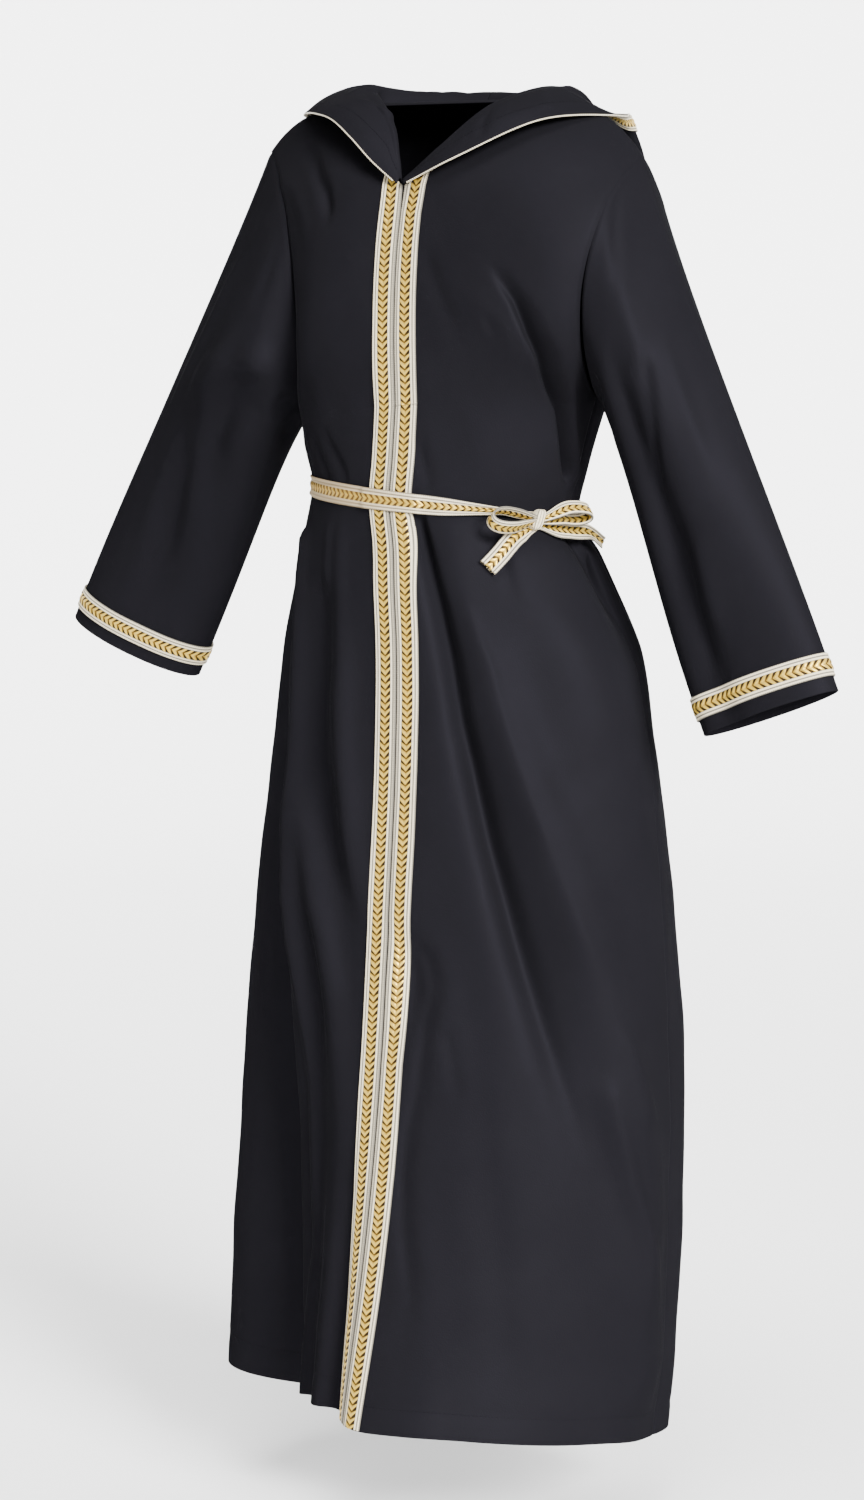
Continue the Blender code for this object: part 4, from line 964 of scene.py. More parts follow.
# ----- Hood -----
# Two halves of crepe joined down the middle of the back, sewn to the neckline and lying
# open: in front the inner side shows, and behind the hood hangs in a pouch.
HOOD = (
    (0.0, (0.0019, -0.0765, -0.0690), (0.0020, -0.0780, -0.0685), (0.0021, -0.0795, -0.0690),
     (0.0022, -0.0808, -0.0705), (0.0023, -0.0818, -0.0725)),
    (0.17, (0.026, -0.0680, -0.0465), (0.029, -0.0705, -0.0455), (0.0335, -0.0730, -0.0462),
     (0.041, -0.0770, -0.0485), (0.049, -0.0800, -0.0520)),
    (0.33, (0.052, -0.0400, -0.0170), (0.060, -0.0450, -0.0155), (0.070, -0.0490, -0.0170),
     (0.084, -0.0510, -0.0215), (0.097, -0.0490, -0.0270)),
    (0.50, (0.070, 0.0060, -0.0010), (0.085, 0.0060, 0.0000), (0.100, 0.0060, -0.0060),
     (0.115, 0.0060, -0.0140), (0.130, 0.0060, -0.0215)),
    (0.56, (0.068, 0.0190, -0.0005), (0.086, 0.0230, 0.0000), (0.102, 0.0280, -0.0130),
     (0.118, 0.0310, -0.0220), (0.133, 0.0260, -0.0215)),
    (0.60, (0.066, 0.0260, -0.0005), (0.087, 0.0340, -0.0010), (0.103, 0.0450, -0.0240),
     (0.121, 0.0480, -0.0280), (0.129, 0.0370, -0.0195)),
    (0.64, (0.063, 0.0350, -0.0005), (0.086, 0.0480, -0.0040), (0.103, 0.0690, -0.0450),
     (0.120, 0.0700, -0.0370), (0.123, 0.0510, -0.0190)),
    (0.72, (0.055, 0.0480, 0.0000), (0.080, 0.0790, -0.0210), (0.100, 0.1060, -0.0960),
     (0.110, 0.1130, -0.0660), (0.105, 0.0790, -0.0170)),
    (0.85, (0.031, 0.0610, 0.0010), (0.050, 0.0950, -0.0560), (0.068, 0.1170, -0.1720),
     (0.072, 0.1380, -0.1000), (0.064, 0.1090, -0.0140)),
    (1.00, (0.0, 0.0650, 0.0015), (0.0, 0.1010, -0.0800), (0.0, 0.1180, -0.2060),
     (0.0, 0.1500, -0.1180), (0.0, 0.1200, -0.0130)),
)
# The hood sits higher and nearer the neck at the wearer's right: stations, and how far its
# neck side and its face edge move outwards, back and up.
HOOD_SET_RIGHT = (
    (0.00, 0.000, 0.000, 0.000, 0.000, 0.000, 0.000),
    (0.08, -0.007, 0.003, 0.006, -0.003, 0.001, 0.006),
    (0.17, -0.013, 0.006, 0.013, -0.006, 0.003, 0.014),
    (0.25, -0.015, 0.004, 0.012, -0.008, 0.003, 0.015),
    (0.33, -0.014, 0.000, 0.008, -0.007, 0.000, 0.010),
    (0.50, -0.002, 0.000, 0.006, 0.000, 0.000, 0.006),
    (0.75, 0.000, 0.000, 0.003, 0.000, 0.000, 0.003),
    (1.00, 0.000, 0.000, 0.000, 0.000, 0.000, 0.000),
)
HOOD_STOPS = (0.0, 0.12, 0.32, 0.58, 0.80, 1.0)
HOOD_FRONT_ROWS = (0.709, 0.75, 0.80, 0.85, 0.90, 0.95, 1.0)
HOOD_BACK_ROWS = (0.70, 0.75, 0.80, 0.85, 0.90, 0.95, 1.0)
HOOD_GATHER = 1.3
HOOD_STATIONS = 132
HOOD_ROWS = 66
# The braid's width along the face edge, and the most it takes of a short section.
HOOD_BAND_WIDTH = 0.0172
HOOD_BAND_SHARE = 0.42


def hood_sections(side, station):
    """Smooth sections from the neck seam over the roll to the face edge, one per station."""
    to_row = np.concatenate([np.linspace(0.0, 0.5, 7)[:-1],
                             0.5 + np.linspace(0.0, 1.0, 7) ** HOOD_GATHER / 2])
    front = np.interp(station, to_row[:7], HOOD_FRONT_ROWS)
    behind = np.interp(station, to_row[6:], HOOD_BACK_ROWS[::-1])
    seam = np.where((station < 0.5)[:, None], centre_edge(-1, front), centre_edge(1, behind))
    table = np.array([np.concatenate(row[1:]) for row in HOOD])
    rest = through([row[0] for row in HOOD], table, station).reshape(len(station), 5, 3)
    nodes = np.concatenate([seam[:, None], rest], axis=1)
    fine = through(HOOD_STOPS, nodes.transpose(1, 0, 2), np.linspace(0.0, 1.0, 201))
    part = np.linspace(0.0, 1.0, 201)[:, None, None]
    if side < 0:
        moved = np.moveaxis(column(HOOD_SET_RIGHT, station), 0, -1)
        fine = fine + smooth(0.0, 0.12, part) * (moved[:, :3] * (1.0 - part)
                                                 + moved[:, 3:] * part)
    return fine * np.array((side, 1.0, 1.0))


def at_runs(fine, places):
    """Points of each section at the distances in places, by straight lines between them."""
    run = run_of(fine, 0)
    index = np.clip((run[None] <= places[:, None]).sum(axis=1) - 1, 0, len(run) - 2)
    low = np.take_along_axis(run, index, axis=0)
    high = np.take_along_axis(run, index + 1, axis=0)
    f = ((places - low) / np.maximum(high - low, 1e-9))[..., None]
    start = np.take_along_axis(fine, index[..., None].repeat(3, axis=2), axis=0)
    end = np.take_along_axis(fine, index[..., None].repeat(3, axis=2) + 1, axis=0)
    return start + (end - start) * np.clip(f, 0.0, 1.0)


# Creases on the hood: height, half widths, end fades, and stops as stations and shares of
# the way from the neck seam to the face edge, both scaled to metres.
HOOD_SCALE = (0.42, 0.16)
HOOD_CREASES = {
    1: (
        (0.0012, 0.006, 0.005, 0.3, 0.4, ((0.22, 0.95), (0.27, 0.60), (0.34, 0.30))),
        (-0.0010, 0.005, 0.006, 0.3, 0.4, ((0.36, 0.98), (0.40, 0.60), (0.46, 0.25))),
        (-0.0020, 0.008, 0.006, 0.2, 0.3, ((0.52, 0.30), (0.60, 0.45), (0.70, 0.52))),
        (0.0018, 0.009, 0.007, 0.3, 0.3, ((0.66, 0.20), (0.78, 0.34), (0.90, 0.40))),
        (-0.0022, 0.009, 0.007, 0.3, 0.3, ((0.74, 0.75), (0.86, 0.70), (0.97, 0.72))),
        (0.0016, 0.007, 0.008, 0.3, 0.3, ((0.80, 0.90), (0.90, 0.86), (0.99, 0.90))),
    ),
    -1: (
        (-0.0030, 0.004, 0.004, 0.2, 0.5, ((0.42, 0.02), (0.40, 0.35), (0.36, 0.62))),
        (0.0020, 0.005, 0.004, 0.3, 0.4, ((0.46, 0.10), (0.45, 0.40), (0.42, 0.70))),
        (-0.0016, 0.005, 0.006, 0.3, 0.4, ((0.20, 0.20), (0.26, 0.45), (0.33, 0.60))),
        (-0.0022, 0.008, 0.007, 0.2, 0.3, ((0.55, 0.35), (0.64, 0.46), (0.76, 0.55))),
        (0.0020, 0.009, 0.007, 0.3, 0.3, ((0.68, 0.22), (0.80, 0.36), (0.93, 0.44))),
        (-0.0018, 0.009, 0.007, 0.3, 0.3, ((0.78, 0.80), (0.88, 0.74), (0.98, 0.78))),
    ),
}


def hood_surface(side, station, share):
    """Hood points for a grid of shares, from 0 at the neck to 1 at the edge, and its length."""
    fine = hood_sections(side, station)
    whole = run_of(fine, 0)[-1]
    share = share(whole) if callable(share) else np.broadcast_to(share, (len(share), len(station)))
    grid = at_runs(fine, share * whole)
    lines = [(*line[:5], [(s * HOOD_SCALE[0], f * HOOD_SCALE[1]) for s, f in line[5]])
             for line in HOOD_CREASES[side]]
    height = line_bells(station[None] * HOOD_SCALE[0], share * HOOD_SCALE[1], lines)
    height = height * smooth(0.0, 0.1, station) * smooth(0.0, 0.08, share)
    return grid - normals_of(grid) * side * height[..., None], whole


def hood_band(whole):
    """The width that the braid takes of each section."""
    return np.minimum(HOOD_BAND_WIDTH, whole * HOOD_BAND_SHARE)


hood_stations = np.linspace(0.0, 1.0, HOOD_STATIONS)
hood_shares = np.concatenate([(0.0, 0.01, 0.025), np.linspace(0.045, 1.0, HOOD_ROWS)])
for side, word in BOTH_SIDES:
    grid, _ = hood_surface(side, hood_stations, hood_shares[:, None])
    line, _ = hood_surface(side, hood_stations, lambda whole: 1.0 - np.stack(
        [hood_band(whole) + step for step in (0.001, 0.0, -0.001)]) / whole)
    inward = normals_of(line)[1] * side
    stitch_row(f"hood_{word}_stitches", (line[1] + inward * CLOTH_THICK)[4:], inward[4:],
               black_thread, BLACK_STITCH)
    cloth_piece(f"hood_{word}_panel", grid, black_crepe, f"hood_{word}", flipped=side > 0,
                flat=(0.24, 0.34), area=0.062, held="laid",
                rests_on=[f"front_{word}_panel", "back_panel"])


# ----- Centre front braid -----
# Woven braid tape sewn flat down each front edge: ribbed ivory borders with beaded edges,
# and between them a two-strand plait of gold thread that reads as chevrons.
TAPE_THICK = 0.0009
TAPE_LIFT = 0.0004
PLAIT_HALF = 0.0041
BELT_PLAIT_HALF = 0.0031
BRAID_PITCH = 0.00505
BRAID_SLANT = 0.88
BRAID_HEIGHT = 0.00085
RIB_PITCH = 0.00252
RIB_HEIGHT = 0.00042
BEAD_PITCH = 0.0016
BEAD_WIDE = 0.0011
BEAD_HEIGHT = 0.00012
# The painted shade between the edge beads starts and is full at these distances from the edge, and
# the painted shadow on the inner rim too.
RIM = (0.0011, 0.0007)
INNER_RIM_SHADOW_REACH = (0.0026, 0.0012)
# Fine detail: phase per metre along and across of the gold's twist, lumps to a metre of the
# specks, the ivory threads' spacing and the height of them all.
GOLD_TWIST = (2200.0, 900.0)
SPECKS = 1100.0
THREAD_PITCH = 0.00055
THREAD_RELIEF = 0.00012
TAPE_ROW = 0.0009
TAPE_COLUMNS = 34
# The braid starts this share of a row from the middle, and its top end runs under the hood.
BAND_START = 0.0008
BAND_ROWS = (124, 372)
BAND_CAP_ROWS = 25
BAND_TOP = {
    1: ((0.0, 0.702, 0.001), (0.5, 0.735, 0.0235), (1.0, 0.766, 0.020)),
    -1: ((0.0, 0.702, 0.001), (0.5, 0.727, 0.017), (1.0, 0.748, 0.034)),
}
BAND_TOP_FROM = 0.62
NEWTON_ROUNDS = 12
IVORY_STITCH = (0.0030, 0.0022, 0.00014, 0.00020)
IVORY_STITCH_LIFT = 0.00012
IVORY = (0.70, 0.61, 0.43)
# Ivory, and ivory in painted shade: in the ribs' grooves, between the edge beads, on the inner rim
# and in the piping's twist.
IVORY_PAINTED_SHADE = (0.115, 0.105, 0.085)
# Gold at the strands' sides, and the painted highlight along their crowns.
GOLD = (0.26, 0.145, 0.016)
GOLD_PAINTED_HIGHLIGHT = (0.60, 0.41, 0.070)
# Painted shade in the gaps between strands: a dark brown line near the middle, darker towards the
# edges.
GOLD_LINE_PAINTED_SHADE = (0.060, 0.031, 0.004)
GOLD_GAP_PAINTED_SHADE = (0.012, 0.0055, 0.0008)
# Ivory and gold in painted shadow, for the belt where it turns from the light.
IVORY_PAINTED_SHADOW = (0.23, 0.165, 0.085)
GOLD_PAINTED_SHADOW = (0.16, 0.085, 0.018)


def braid_relief(u, v, width, way, half):
    """The tape's height over its flat: plait strands in the middle, ribs and edge beads.

    A strand is a rounded bar at a slant that turns over at the middle; a rib is a rounded
    bar along the tape; a bead is a short bump on the outermost thread.
    """
    away = np.abs(u)
    strand = (v / BRAID_PITCH - way * BRAID_SLANT * away / BRAID_PITCH) % 1.0
    bar = np.clip(1.0 - np.abs(2.0 * strand - 1.0) ** 2.6, 0.0, 1.0)
    crown = np.clip(1.0 - (np.abs(away - half / 2) / (half / 2 + 0.0003)) ** 4, 0.0, 1.0)
    plait = BRAID_HEIGHT * bar * crown
    rib = RIB_HEIGHT * np.abs(np.cos(np.pi * (width / 2 - away) / RIB_PITCH - np.pi / 2)) ** 0.8
    bead = BEAD_HEIGHT * np.cos(2 * np.pi * v / BEAD_PITCH) * (away > width / 2 - BEAD_WIDE)
    return np.where(away < half, plait, rib + bead)


def braid_strip(name, node, base, normals, u, v, finish, width, way=1, closed=False, lift=0.0,
                flipped=False, half=PLAIT_HALF, length=None, **cut):
    """A tape of closed profile carried along a strip of points.

    base, normals, u and v are grids with a row for each place along and a column for each
    place across. The top follows the relief, and the underside is flat. Its flat length, v at
    the far end unless another length is given, is handed on but not used.
    """
    rise = braid_relief(u, v, width, way, half)
    edge = np.abs(u) / (width / 2)
    thick = TAPE_THICK * (1.0 - 0.5 * smooth(0.9, 1.0, edge))
    above = base + normals * (lift + thick + rise)[..., None]
    under = (base + normals * np.asarray(lift)[..., None])[:, ::-5]
    grid = np.concatenate([above, under], axis=1)
    uv = np.stack([np.concatenate([u, u[:, ::-5]], axis=1),
                   np.concatenate([v, v[:, ::-5]], axis=1)], axis=-1)
    uv = np.concatenate([uv, uv[:, :1]], axis=1)
    if closed:
        span = np.linalg.norm(base[:1] - base[-1:], axis=-1).mean()
        last = uv[:1] + np.array((0.0, uv[-1, 0, 1] - uv[0, 0, 1] + span))
        uv = np.concatenate([uv, last], axis=0)
    piece = mesh_piece(name, grid, finish, uv, closed=True, flipped=flipped, tube=closed,
                       caps=not closed)
    length = float(v[-1, 0]) if length is None else length
    on_body(piece, "braid_tape", node, flat=(width, round(length, 3)), **cut)


def make_braid(name, width, way, half=PLAIT_HALF, inner_rim_shadow=0.0, shadow_stretch=None, gap_shadow_side=0.0):
    """Braid by its UV map in metres: ribs by u, strands by v and the slant of u.

    The inner rim's strength darkens the rim where u is negative: a painted shadow where two
    bands meet. The shadow stretch gives the two places along the tape between which its
    painted shadow gives way to the lit part, and the gaps' shadow side opens the gaps wider
    on one side of the plait: a painted shadow there.
    """
    braid = Finish(name, Specular_IOR_Level=0.12, Sheen_Weight=0.03, Sheen_Roughness=0.4)
    spot = braid.uv_place()
    u, v = braid.two_of(spot)
    away = abs(u)
    strand = (v / BRAID_PITCH + away * (-way * BRAID_SLANT / BRAID_PITCH) + 64.0).part()
    middle = abs(strand * 2.0 - 1.0)
    inside = 1.0 - away.ramp(half - 0.0001, half + 0.0002)
    outward = away * (1.0 / half)
    # The gaps open wider towards the edges and on one side: painted shade between the strands, and
    # a painted shadow on that side.
    open_up = outward * 0.34 + u * (gap_shadow_side * 0.10 / half)
    gap = middle.ramp(0.60 - open_up, 0.92 - open_up)
    twist = (v * GOLD_TWIST[0] + u * GOLD_TWIST[1]).math("SINE") * 0.5 + 0.5
    speck = braid.noise(spot, SPECKS, 2.0)
    # Each strand is lighter along its crown than at its sides: a painted highlight, with random
    # specks.
    gold = braid.blend((1.0 - middle) ** 1.2 * 0.9 + speck * 0.3, GOLD, GOLD_PAINTED_HIGHLIGHT)
    # The gaps are painted dark brown, darkest towards the edges: painted shade between the
    # strands.
    gold = braid.blend(gap, gold, braid.blend(outward.ramp(0.1, 0.6), GOLD_LINE_PAINTED_SHADE, GOLD_GAP_PAINTED_SHADE))
    rib = ((width / 2 - away) * (math.pi / RIB_PITCH) - math.pi / 2).math("COSINE")
    # The ribs' grooves are darkened: painted shade.
    groove_shade = 1.0 - abs(rib).ramp(0.30, 0.95)
    bead = (v * (2 * math.pi / BEAD_PITCH)).math("COSINE") * 0.5 + 0.5
    rim = away.ramp(width / 2 - RIM[0], width / 2 - RIM[1])
    # Painted shade in the grooves and between the beads, most on the outer rim, with random
    # specks.
    shade = groove_shade * 0.85 + speck * 0.25 + (0.10 + rim * 0.40) * (1.0 - bead)
    # A painted shadow along the inner rim, where the two front bands meet.
    if inner_rim_shadow:
        inner_shadow = (u * -1.0).ramp(width / 2 - INNER_RIM_SHADOW_REACH[0], width / 2 - INNER_RIM_SHADOW_REACH[1])
        shade = shade + inner_shadow * inner_rim_shadow
    ivory = braid.blend(shade.math("MINIMUM", 1.0), IVORY, IVORY_PAINTED_SHADE)
    # A painted shadow: before the given stretch the tape is darker and browner.
    if shadow_stretch:
        shadowed = 1.0 - v.ramp(*shadow_stretch)
        ivory = braid.blend(shadowed * 0.8, ivory, IVORY_PAINTED_SHADOW)
        gold = braid.blend(shadowed * 0.5, gold, GOLD_PAINTED_SHADOW)
    thread = (v * (2 * math.pi / THREAD_PITCH)).math("SINE") * 0.5 + 0.5
    lustre = inside * (1.0 - gap)
    braid.feed(Base_Color=braid.blend(inside, ivory, gold),
               Roughness=0.62 - lustre * 0.26 + speck * 0.08,
               Metallic=lustre * 0.55,
               Normal=braid.relief(inside * twist * 0.6 + (1.0 - inside) * thread * 0.5
                                   + speck * 0.3, THREAD_RELIEF, 0.8))
    return braid.material


def even_rows(path, gap):
    """Places from 0 to 1 along a path of points, about gap metres apart, evenly spaced."""
    run = run_of(path[:, None], 0)[:, 0]
    count = int(round(run[-1] / gap))
    return np.interp(np.linspace(0.0, run[-1], count + 1), run, np.linspace(0.0, 1.0, len(run)))


def band_share(side, place):
    """The part of each front row that lies under the braid, from the row's own length."""
    fine = np.linspace(0.0, 1.0, 61)[None]
    run = run_of(draped(panel(side, -1, place, fine), creases=False), 1)
    index = (run < BAND_WIDTH).sum(axis=1)[:, None]
    low, high = (np.take_along_axis(run, index - k, axis=1) for k in (1, 0))
    return (index - 1 + (BAND_WIDTH - low) / (high - low)) / 60.0


def onto_cloth(side, row, across, target):
    """Yoke points in line with targets seen from in front: Newton steps in row and across."""
    step = 0.001
    for _ in range(NEWTON_ROUNDS):
        here = panel(side, -1, row, across)
        by_row = (panel(side, -1, row + step, across) - here) / step
        by_across = (panel(side, -1, row, across + step) - here) / step
        miss = target - here
        area = by_row[..., 0] * by_across[..., 2] - by_row[..., 2] * by_across[..., 0]
        row = row + (miss[..., 0] * by_across[..., 2] - miss[..., 2] * by_across[..., 0]) / area
        across = across + (by_row[..., 0] * miss[..., 2] - by_row[..., 2] * miss[..., 0]) / area
        row = np.clip(row, 0.5, 0.95)
        across = np.clip(across, 0.0, 0.4)
    return draped(panel(side, -1, row, across))


band_across = np.linspace(0.0, 1.0, TAPE_COLUMNS)
band_levels = np.concatenate([np.linspace(BAND_TOP_FROM, 0.004, BAND_ROWS[0]),
                              np.linspace(UNDERARM, HEM, BAND_ROWS[1])])
ivory_thread = Finish("ivory_thread", Base_Color=(0.70, 0.62, 0.46, 1.0), Roughness=0.5).material
for side, word in BOTH_SIDES:
    # Each front braid gets a painted shadow on its inner rim, and its plait's gaps open wider on
    # one side: a painted shadow there.
    front_braid = make_braid(f"gold_braid_front_{word}", BAND_WIDTH, -1, inner_rim_shadow=0.6, gap_shadow_side=side)
    line = draped(panel(side, -1, band_levels[:, None], 0.03))[:, 0]
    where = even_rows(line, TAPE_ROW)
    places = np.interp(where, np.linspace(0.0, 1.0, len(line)), band_levels)[:, None]
    inner = BAND_START + band_share(side, places) * band_across[None]
    strip = draped(panel(side, -1, places, inner))
    rows_at, start_at = column(BAND_TOP[side], band_across)
    slant = panel(side, -1, rows_at, start_at + BAND_START)
    foot = panel(side, -1, places[:1], inner[:1])[0]
    rise = np.linalg.norm(slant - foot, axis=-1)
    steps = np.linspace(1.0, 0.0, BAND_CAP_ROWS + 1)[:-1, None]
    cap = onto_cloth(side, places[0] + (rows_at - places[0]) * steps,
                     inner[0] + (start_at - inner[0]) * steps,
                     foot + (slant - foot) * steps[..., None])
    strip_v = np.broadcast_to(run_of(strip[:, :1], 0), strip.shape[:2])
    base = np.concatenate([cap, strip])
    v = np.concatenate([-steps * rise[None], strip_v])
    u = np.broadcast_to((band_across - 0.5) * BAND_WIDTH, v.shape)
    normals = normals_of(base) * side
    normals[:BAND_CAP_ROWS + 1] = normals[BAND_CAP_ROWS + 1]
    braid_strip(f"front_braid_{word}", f"front_trim_{word}", base, normals, u, v, front_braid,
                BAND_WIDTH, way=-1, lift=TAPE_LIFT, flipped=side < 0,
                length=float(v[-1, 0] - v[0, -1]), held="laid",
                rests_on=[f"front_{word}_panel"])
    for edge, column_at in (("inner", 2), ("outer", -3)):
        stitch_row(f"front_braid_{word}_{edge}_stitches", base[3:, column_at]
                   + normals[3:, column_at] * (TAPE_LIFT + TAPE_THICK + IVORY_STITCH_LIFT),
                   normals[3:, column_at], ivory_thread, IVORY_STITCH, slot="braid_tape")


# ----- Cuff braid -----
# The same braid sewn round each sleeve, a finger's width above the cuff's edge.
cuff_braid = make_braid("gold_braid_cuff", CUFF_BAND_WIDTH, 1)
CUFF_ROWS = 158
cuff_rows = np.linspace(0.0, 1.0, CUFF_ROWS)
for side, word in BOTH_SIDES:
    down = 1.0 + np.linspace(0.0, CUFF_BAND_WIDTH, TAPE_COLUMNS)
    grid = sleeve_grid(side, cuff_rows, np.concatenate([(0.985,), down, (1.0 + CUFF_STRIP,)]))
    normals = normals_of(grid, closed=True)[1:-1].transpose(1, 0, 2)
    base = grid[1:-1].transpose(1, 0, 2)
    u = np.broadcast_to(np.linspace(0.5, -0.5, TAPE_COLUMNS) * CUFF_BAND_WIDTH, base.shape[:2])
    v = np.broadcast_to(run_of(base[:, :1], 0), base.shape[:2])
    braid_strip(f"cuff_braid_{word}", f"cuff_trim_{word}", base, normals, u, v, cuff_braid,
                CUFF_BAND_WIDTH, closed=True, lift=TAPE_LIFT, flipped=True, held="laid",
                rests_on=[f"sleeve_{word}_panel"])


# ----- Hood braid and piping -----
# The same braid runs along the outer side of the hood's face edge, where it is hidden in
# front and shows behind. A thin ivory cord is sewn into the very edge.
PIPING_RADIUS = 0.0006
PIPING_OUT = 0.8
PIPING_TWIST = 0.0018
hood_braid = make_braid("gold_braid_hood", HOOD_BAND_WIDTH, 1)
piping_finish = Finish("ivory_piping", Roughness=0.55, Sheen_Weight=0.2)
turn_u, turn_v = piping_finish.two_of(piping_finish.uv_place())
# The hollows of the piping's twist are darkened: painted shade, with a bump too.
ply = (turn_v * (2 * math.pi / PIPING_TWIST) + turn_u * (2 * math.pi)).math("SINE") * 0.5 + 0.5
piping_finish.feed(Base_Color=piping_finish.blend(ply, IVORY_PAINTED_SHADE, IVORY),
                   Normal=piping_finish.relief(ply, 0.00025, 0.7))


def cord_piece(name, path, radius, finish, sides=8):
    """A round cord: a circle carried along a path, level with the path's own frame."""
    forward_at = unit(np.gradient(path, axis=0))
    side_at = unit(np.cross(forward_at, np.array((0.0, 0.0, 1.0))))
    up_at = np.cross(side_at, forward_at)
    turn = np.linspace(0.0, 2 * np.pi, sides + 1)[:-1]
    ring = (np.cos(turn)[None, :, None] * side_at[:, None]
            + np.sin(turn)[None, :, None] * up_at[:, None])
    grid = path[:, None] + ring * radius
    run = run_of(path[:, None], 0)
    uv = np.stack(np.broadcast_arrays(np.linspace(0.0, 1.0, sides + 1)[None], run), axis=-1)
    return mesh_piece(name, grid, finish, uv, closed=True, caps=True)


for side, word in BOTH_SIDES:
    stations = even_rows(hood_sections(side, np.linspace(0.0, 1.0, 500))[-1], TAPE_ROW)
    stations = stations[stations > 0.012]
    share = np.linspace(0.0, 1.0, TAPE_COLUMNS)[:, None]
    grid, whole = hood_surface(side, stations, lambda whole: (
        1.0 - (hood_band(whole) * (1.0 - share) * 0.985 + 0.0003) / whole))
    outward = -normals_of(grid) * side
    base = grid.transpose(1, 0, 2)
    u = (share.T - 0.5) * hood_band(whole)[:, None]
    v = np.broadcast_to(run_of(base[:, :1], 0), u.shape)
    braid_strip(f"hood_braid_{word}", f"hood_trim_{word}", base, outward.transpose(1, 0, 2), u,
                v, hood_braid, HOOD_BAND_WIDTH, lift=TAPE_LIFT, flipped=side < 0,
                held="laid", rests_on=[f"hood_{word}_panel"])
    near, _ = hood_surface(side, stations, np.array((0.985, 1.0))[:, None])
    edge = near[1] + unit(near[1] - near[0]) * PIPING_RADIUS * PIPING_OUT
    on_body(cord_piece(f"hood_piping_{word}", edge, PIPING_RADIUS, piping_finish.material),
            "braid_tape")


# ----- Belt -----
# A narrower tape of the same weave, once round the waist over the front braid.
BELT_TOP = -0.2975
BELT_BOTTOM = -0.3125
BELT_WIDTH = 0.0150
BELT_CLEAR = 0.0007
BELT_OVER_BAND = 0.0020
BELT_COLUMNS = 30
# The tape is drawn together towards the knot: angle, drop of its top edge, rise of its foot.
BELT_SET = ((-180.0, 0.0, 0.0), (5.0, 0.0, 0.0), (22.0, 0.0006, 0.0012), (38.0, 0.0026, 0.0040),
            (50.0, 0.0044, 0.0054), (62.0, 0.0058, 0.0046), (76.0, 0.0060, 0.0040),
            (92.0, 0.0042, 0.0030), (112.0, 0.0012, 0.0010), (130.0, 0.0, 0.0),
            (180.0, 0.0, 0.0))
BELT_TUCK = 0.16
# The belt's braid holds a painted shadow from the middle of the back round the wearer's right to
# the front.
belt_braid = make_braid("gold_braid_belt", BELT_WIDTH, -1, BELT_PLAIT_HALF, shadow_stretch=(0.24, 0.36))


def belt_place(angle, share):
    """Points round the waist between the belt's two edges."""
    drop, rise = column(BELT_SET, angle)
    level = BELT_TOP - drop + (BELT_BOTTOM + rise - BELT_TOP + drop) * share
    return draped(ring_points(level, angle), creases=False)


coarse = belt_place(np.linspace(-180.0, 180.0, 721), 0.5 * np.ones(721))
belt_angle = -180.0 + 360.0 * even_rows(coarse, TAPE_ROW)[:-1, None]
share = np.linspace(0.0, 1.0, BELT_COLUMNS)[None]
belt_angle, share = np.broadcast_arrays(belt_angle, share)
base = belt_place(belt_angle, share)
normals = unit(np.cross(np.gradient(base, axis=1),
                        np.roll(base, -1, axis=0) - np.roll(base, 1, axis=0)))
over = smooth(15.0, 11.0, np.abs(belt_angle))
drawn = sum(column(BELT_SET, belt_angle))
tucks = BELT_TUCK * drawn * (1.0 - np.cos(2 * np.pi * 2.5 * share + 0.02 * belt_angle))
u = (0.5 - share) * BELT_WIDTH
v = np.broadcast_to(run_of(base[:, :1], 0), u.shape)
braid_strip("belt_tape", "belt", base, normals, u, v, belt_braid, BELT_WIDTH, way=-1,
            closed=True, lift=BELT_CLEAR + BELT_OVER_BAND * over + tucks, flipped=True,
            half=BELT_PLAIT_HALF, held="laid",
            rests_on=["front_left_panel", "front_right_panel", "back_panel"])


# ----- Bow -----
# The belt's two ends are tied in a small bow at the wearer's left of the front: a knot of
# wrapped tape, two loops and two cut ends that lie on the skirt.
BOW_ANGLE = 62.5
BOW_LEVEL = -0.3085
BELT_LIFT = 0.0004
BELT_CLOTH = 0.0015
KNOT = (0.0052, 0.0048, 0.0072)
KNOT_SINK = (0.0004, 0.0006)
KNOT_ROUNDING = 0.6
KNOT_LIFT = 0.0061
KNOT_WRAPS = 2.0
KNOT_RIDGE = 0.0012
KNOT_SLANT = 0.36
LOOP_REACH = {1: 0.0395, -1: 0.0425}
LOOP_LIFT = 0.0020
LOOP_FLARE = 0.0048
LOOP_ROOT = 0.0009
# The loop at the wearer's left tips towards the viewer at its top and rises; the other one
# tips away at its top. The lower edge of the tape is rolled under.
LOOP_SPREAD = {1: 0.0070, -1: 0.0084}
LOOP_RISE = {1: 0.0062, -1: -0.0012}
LOOP_TIP = {1: 0.72, -1: -0.60}
LOOP_TWIST = {1: 0.0, -1: 0.15}
LOOP_WIDTH = 0.0125
LOOP_SHOWS = (-0.0048, 0.0075)
TAIL_WIDTH = 0.0150
TAIL_START = 0.0070
TAIL_CURL = 0.0009
TAILS = {
    "right": ((61.0, 52.5, 44.5, 34.5), (-0.3160, -0.3218, -0.3325, -0.3500),
              (0.0030, 0.0026, 0.0040, 0.0034)),
    "left": ((64.0, 72.0, 80.0, 88.0, 93.0), (-0.3140, -0.3170, -0.3196, -0.3240, -0.3345),
             (0.0030, 0.0030, 0.0050, 0.0100, 0.0120)),
}
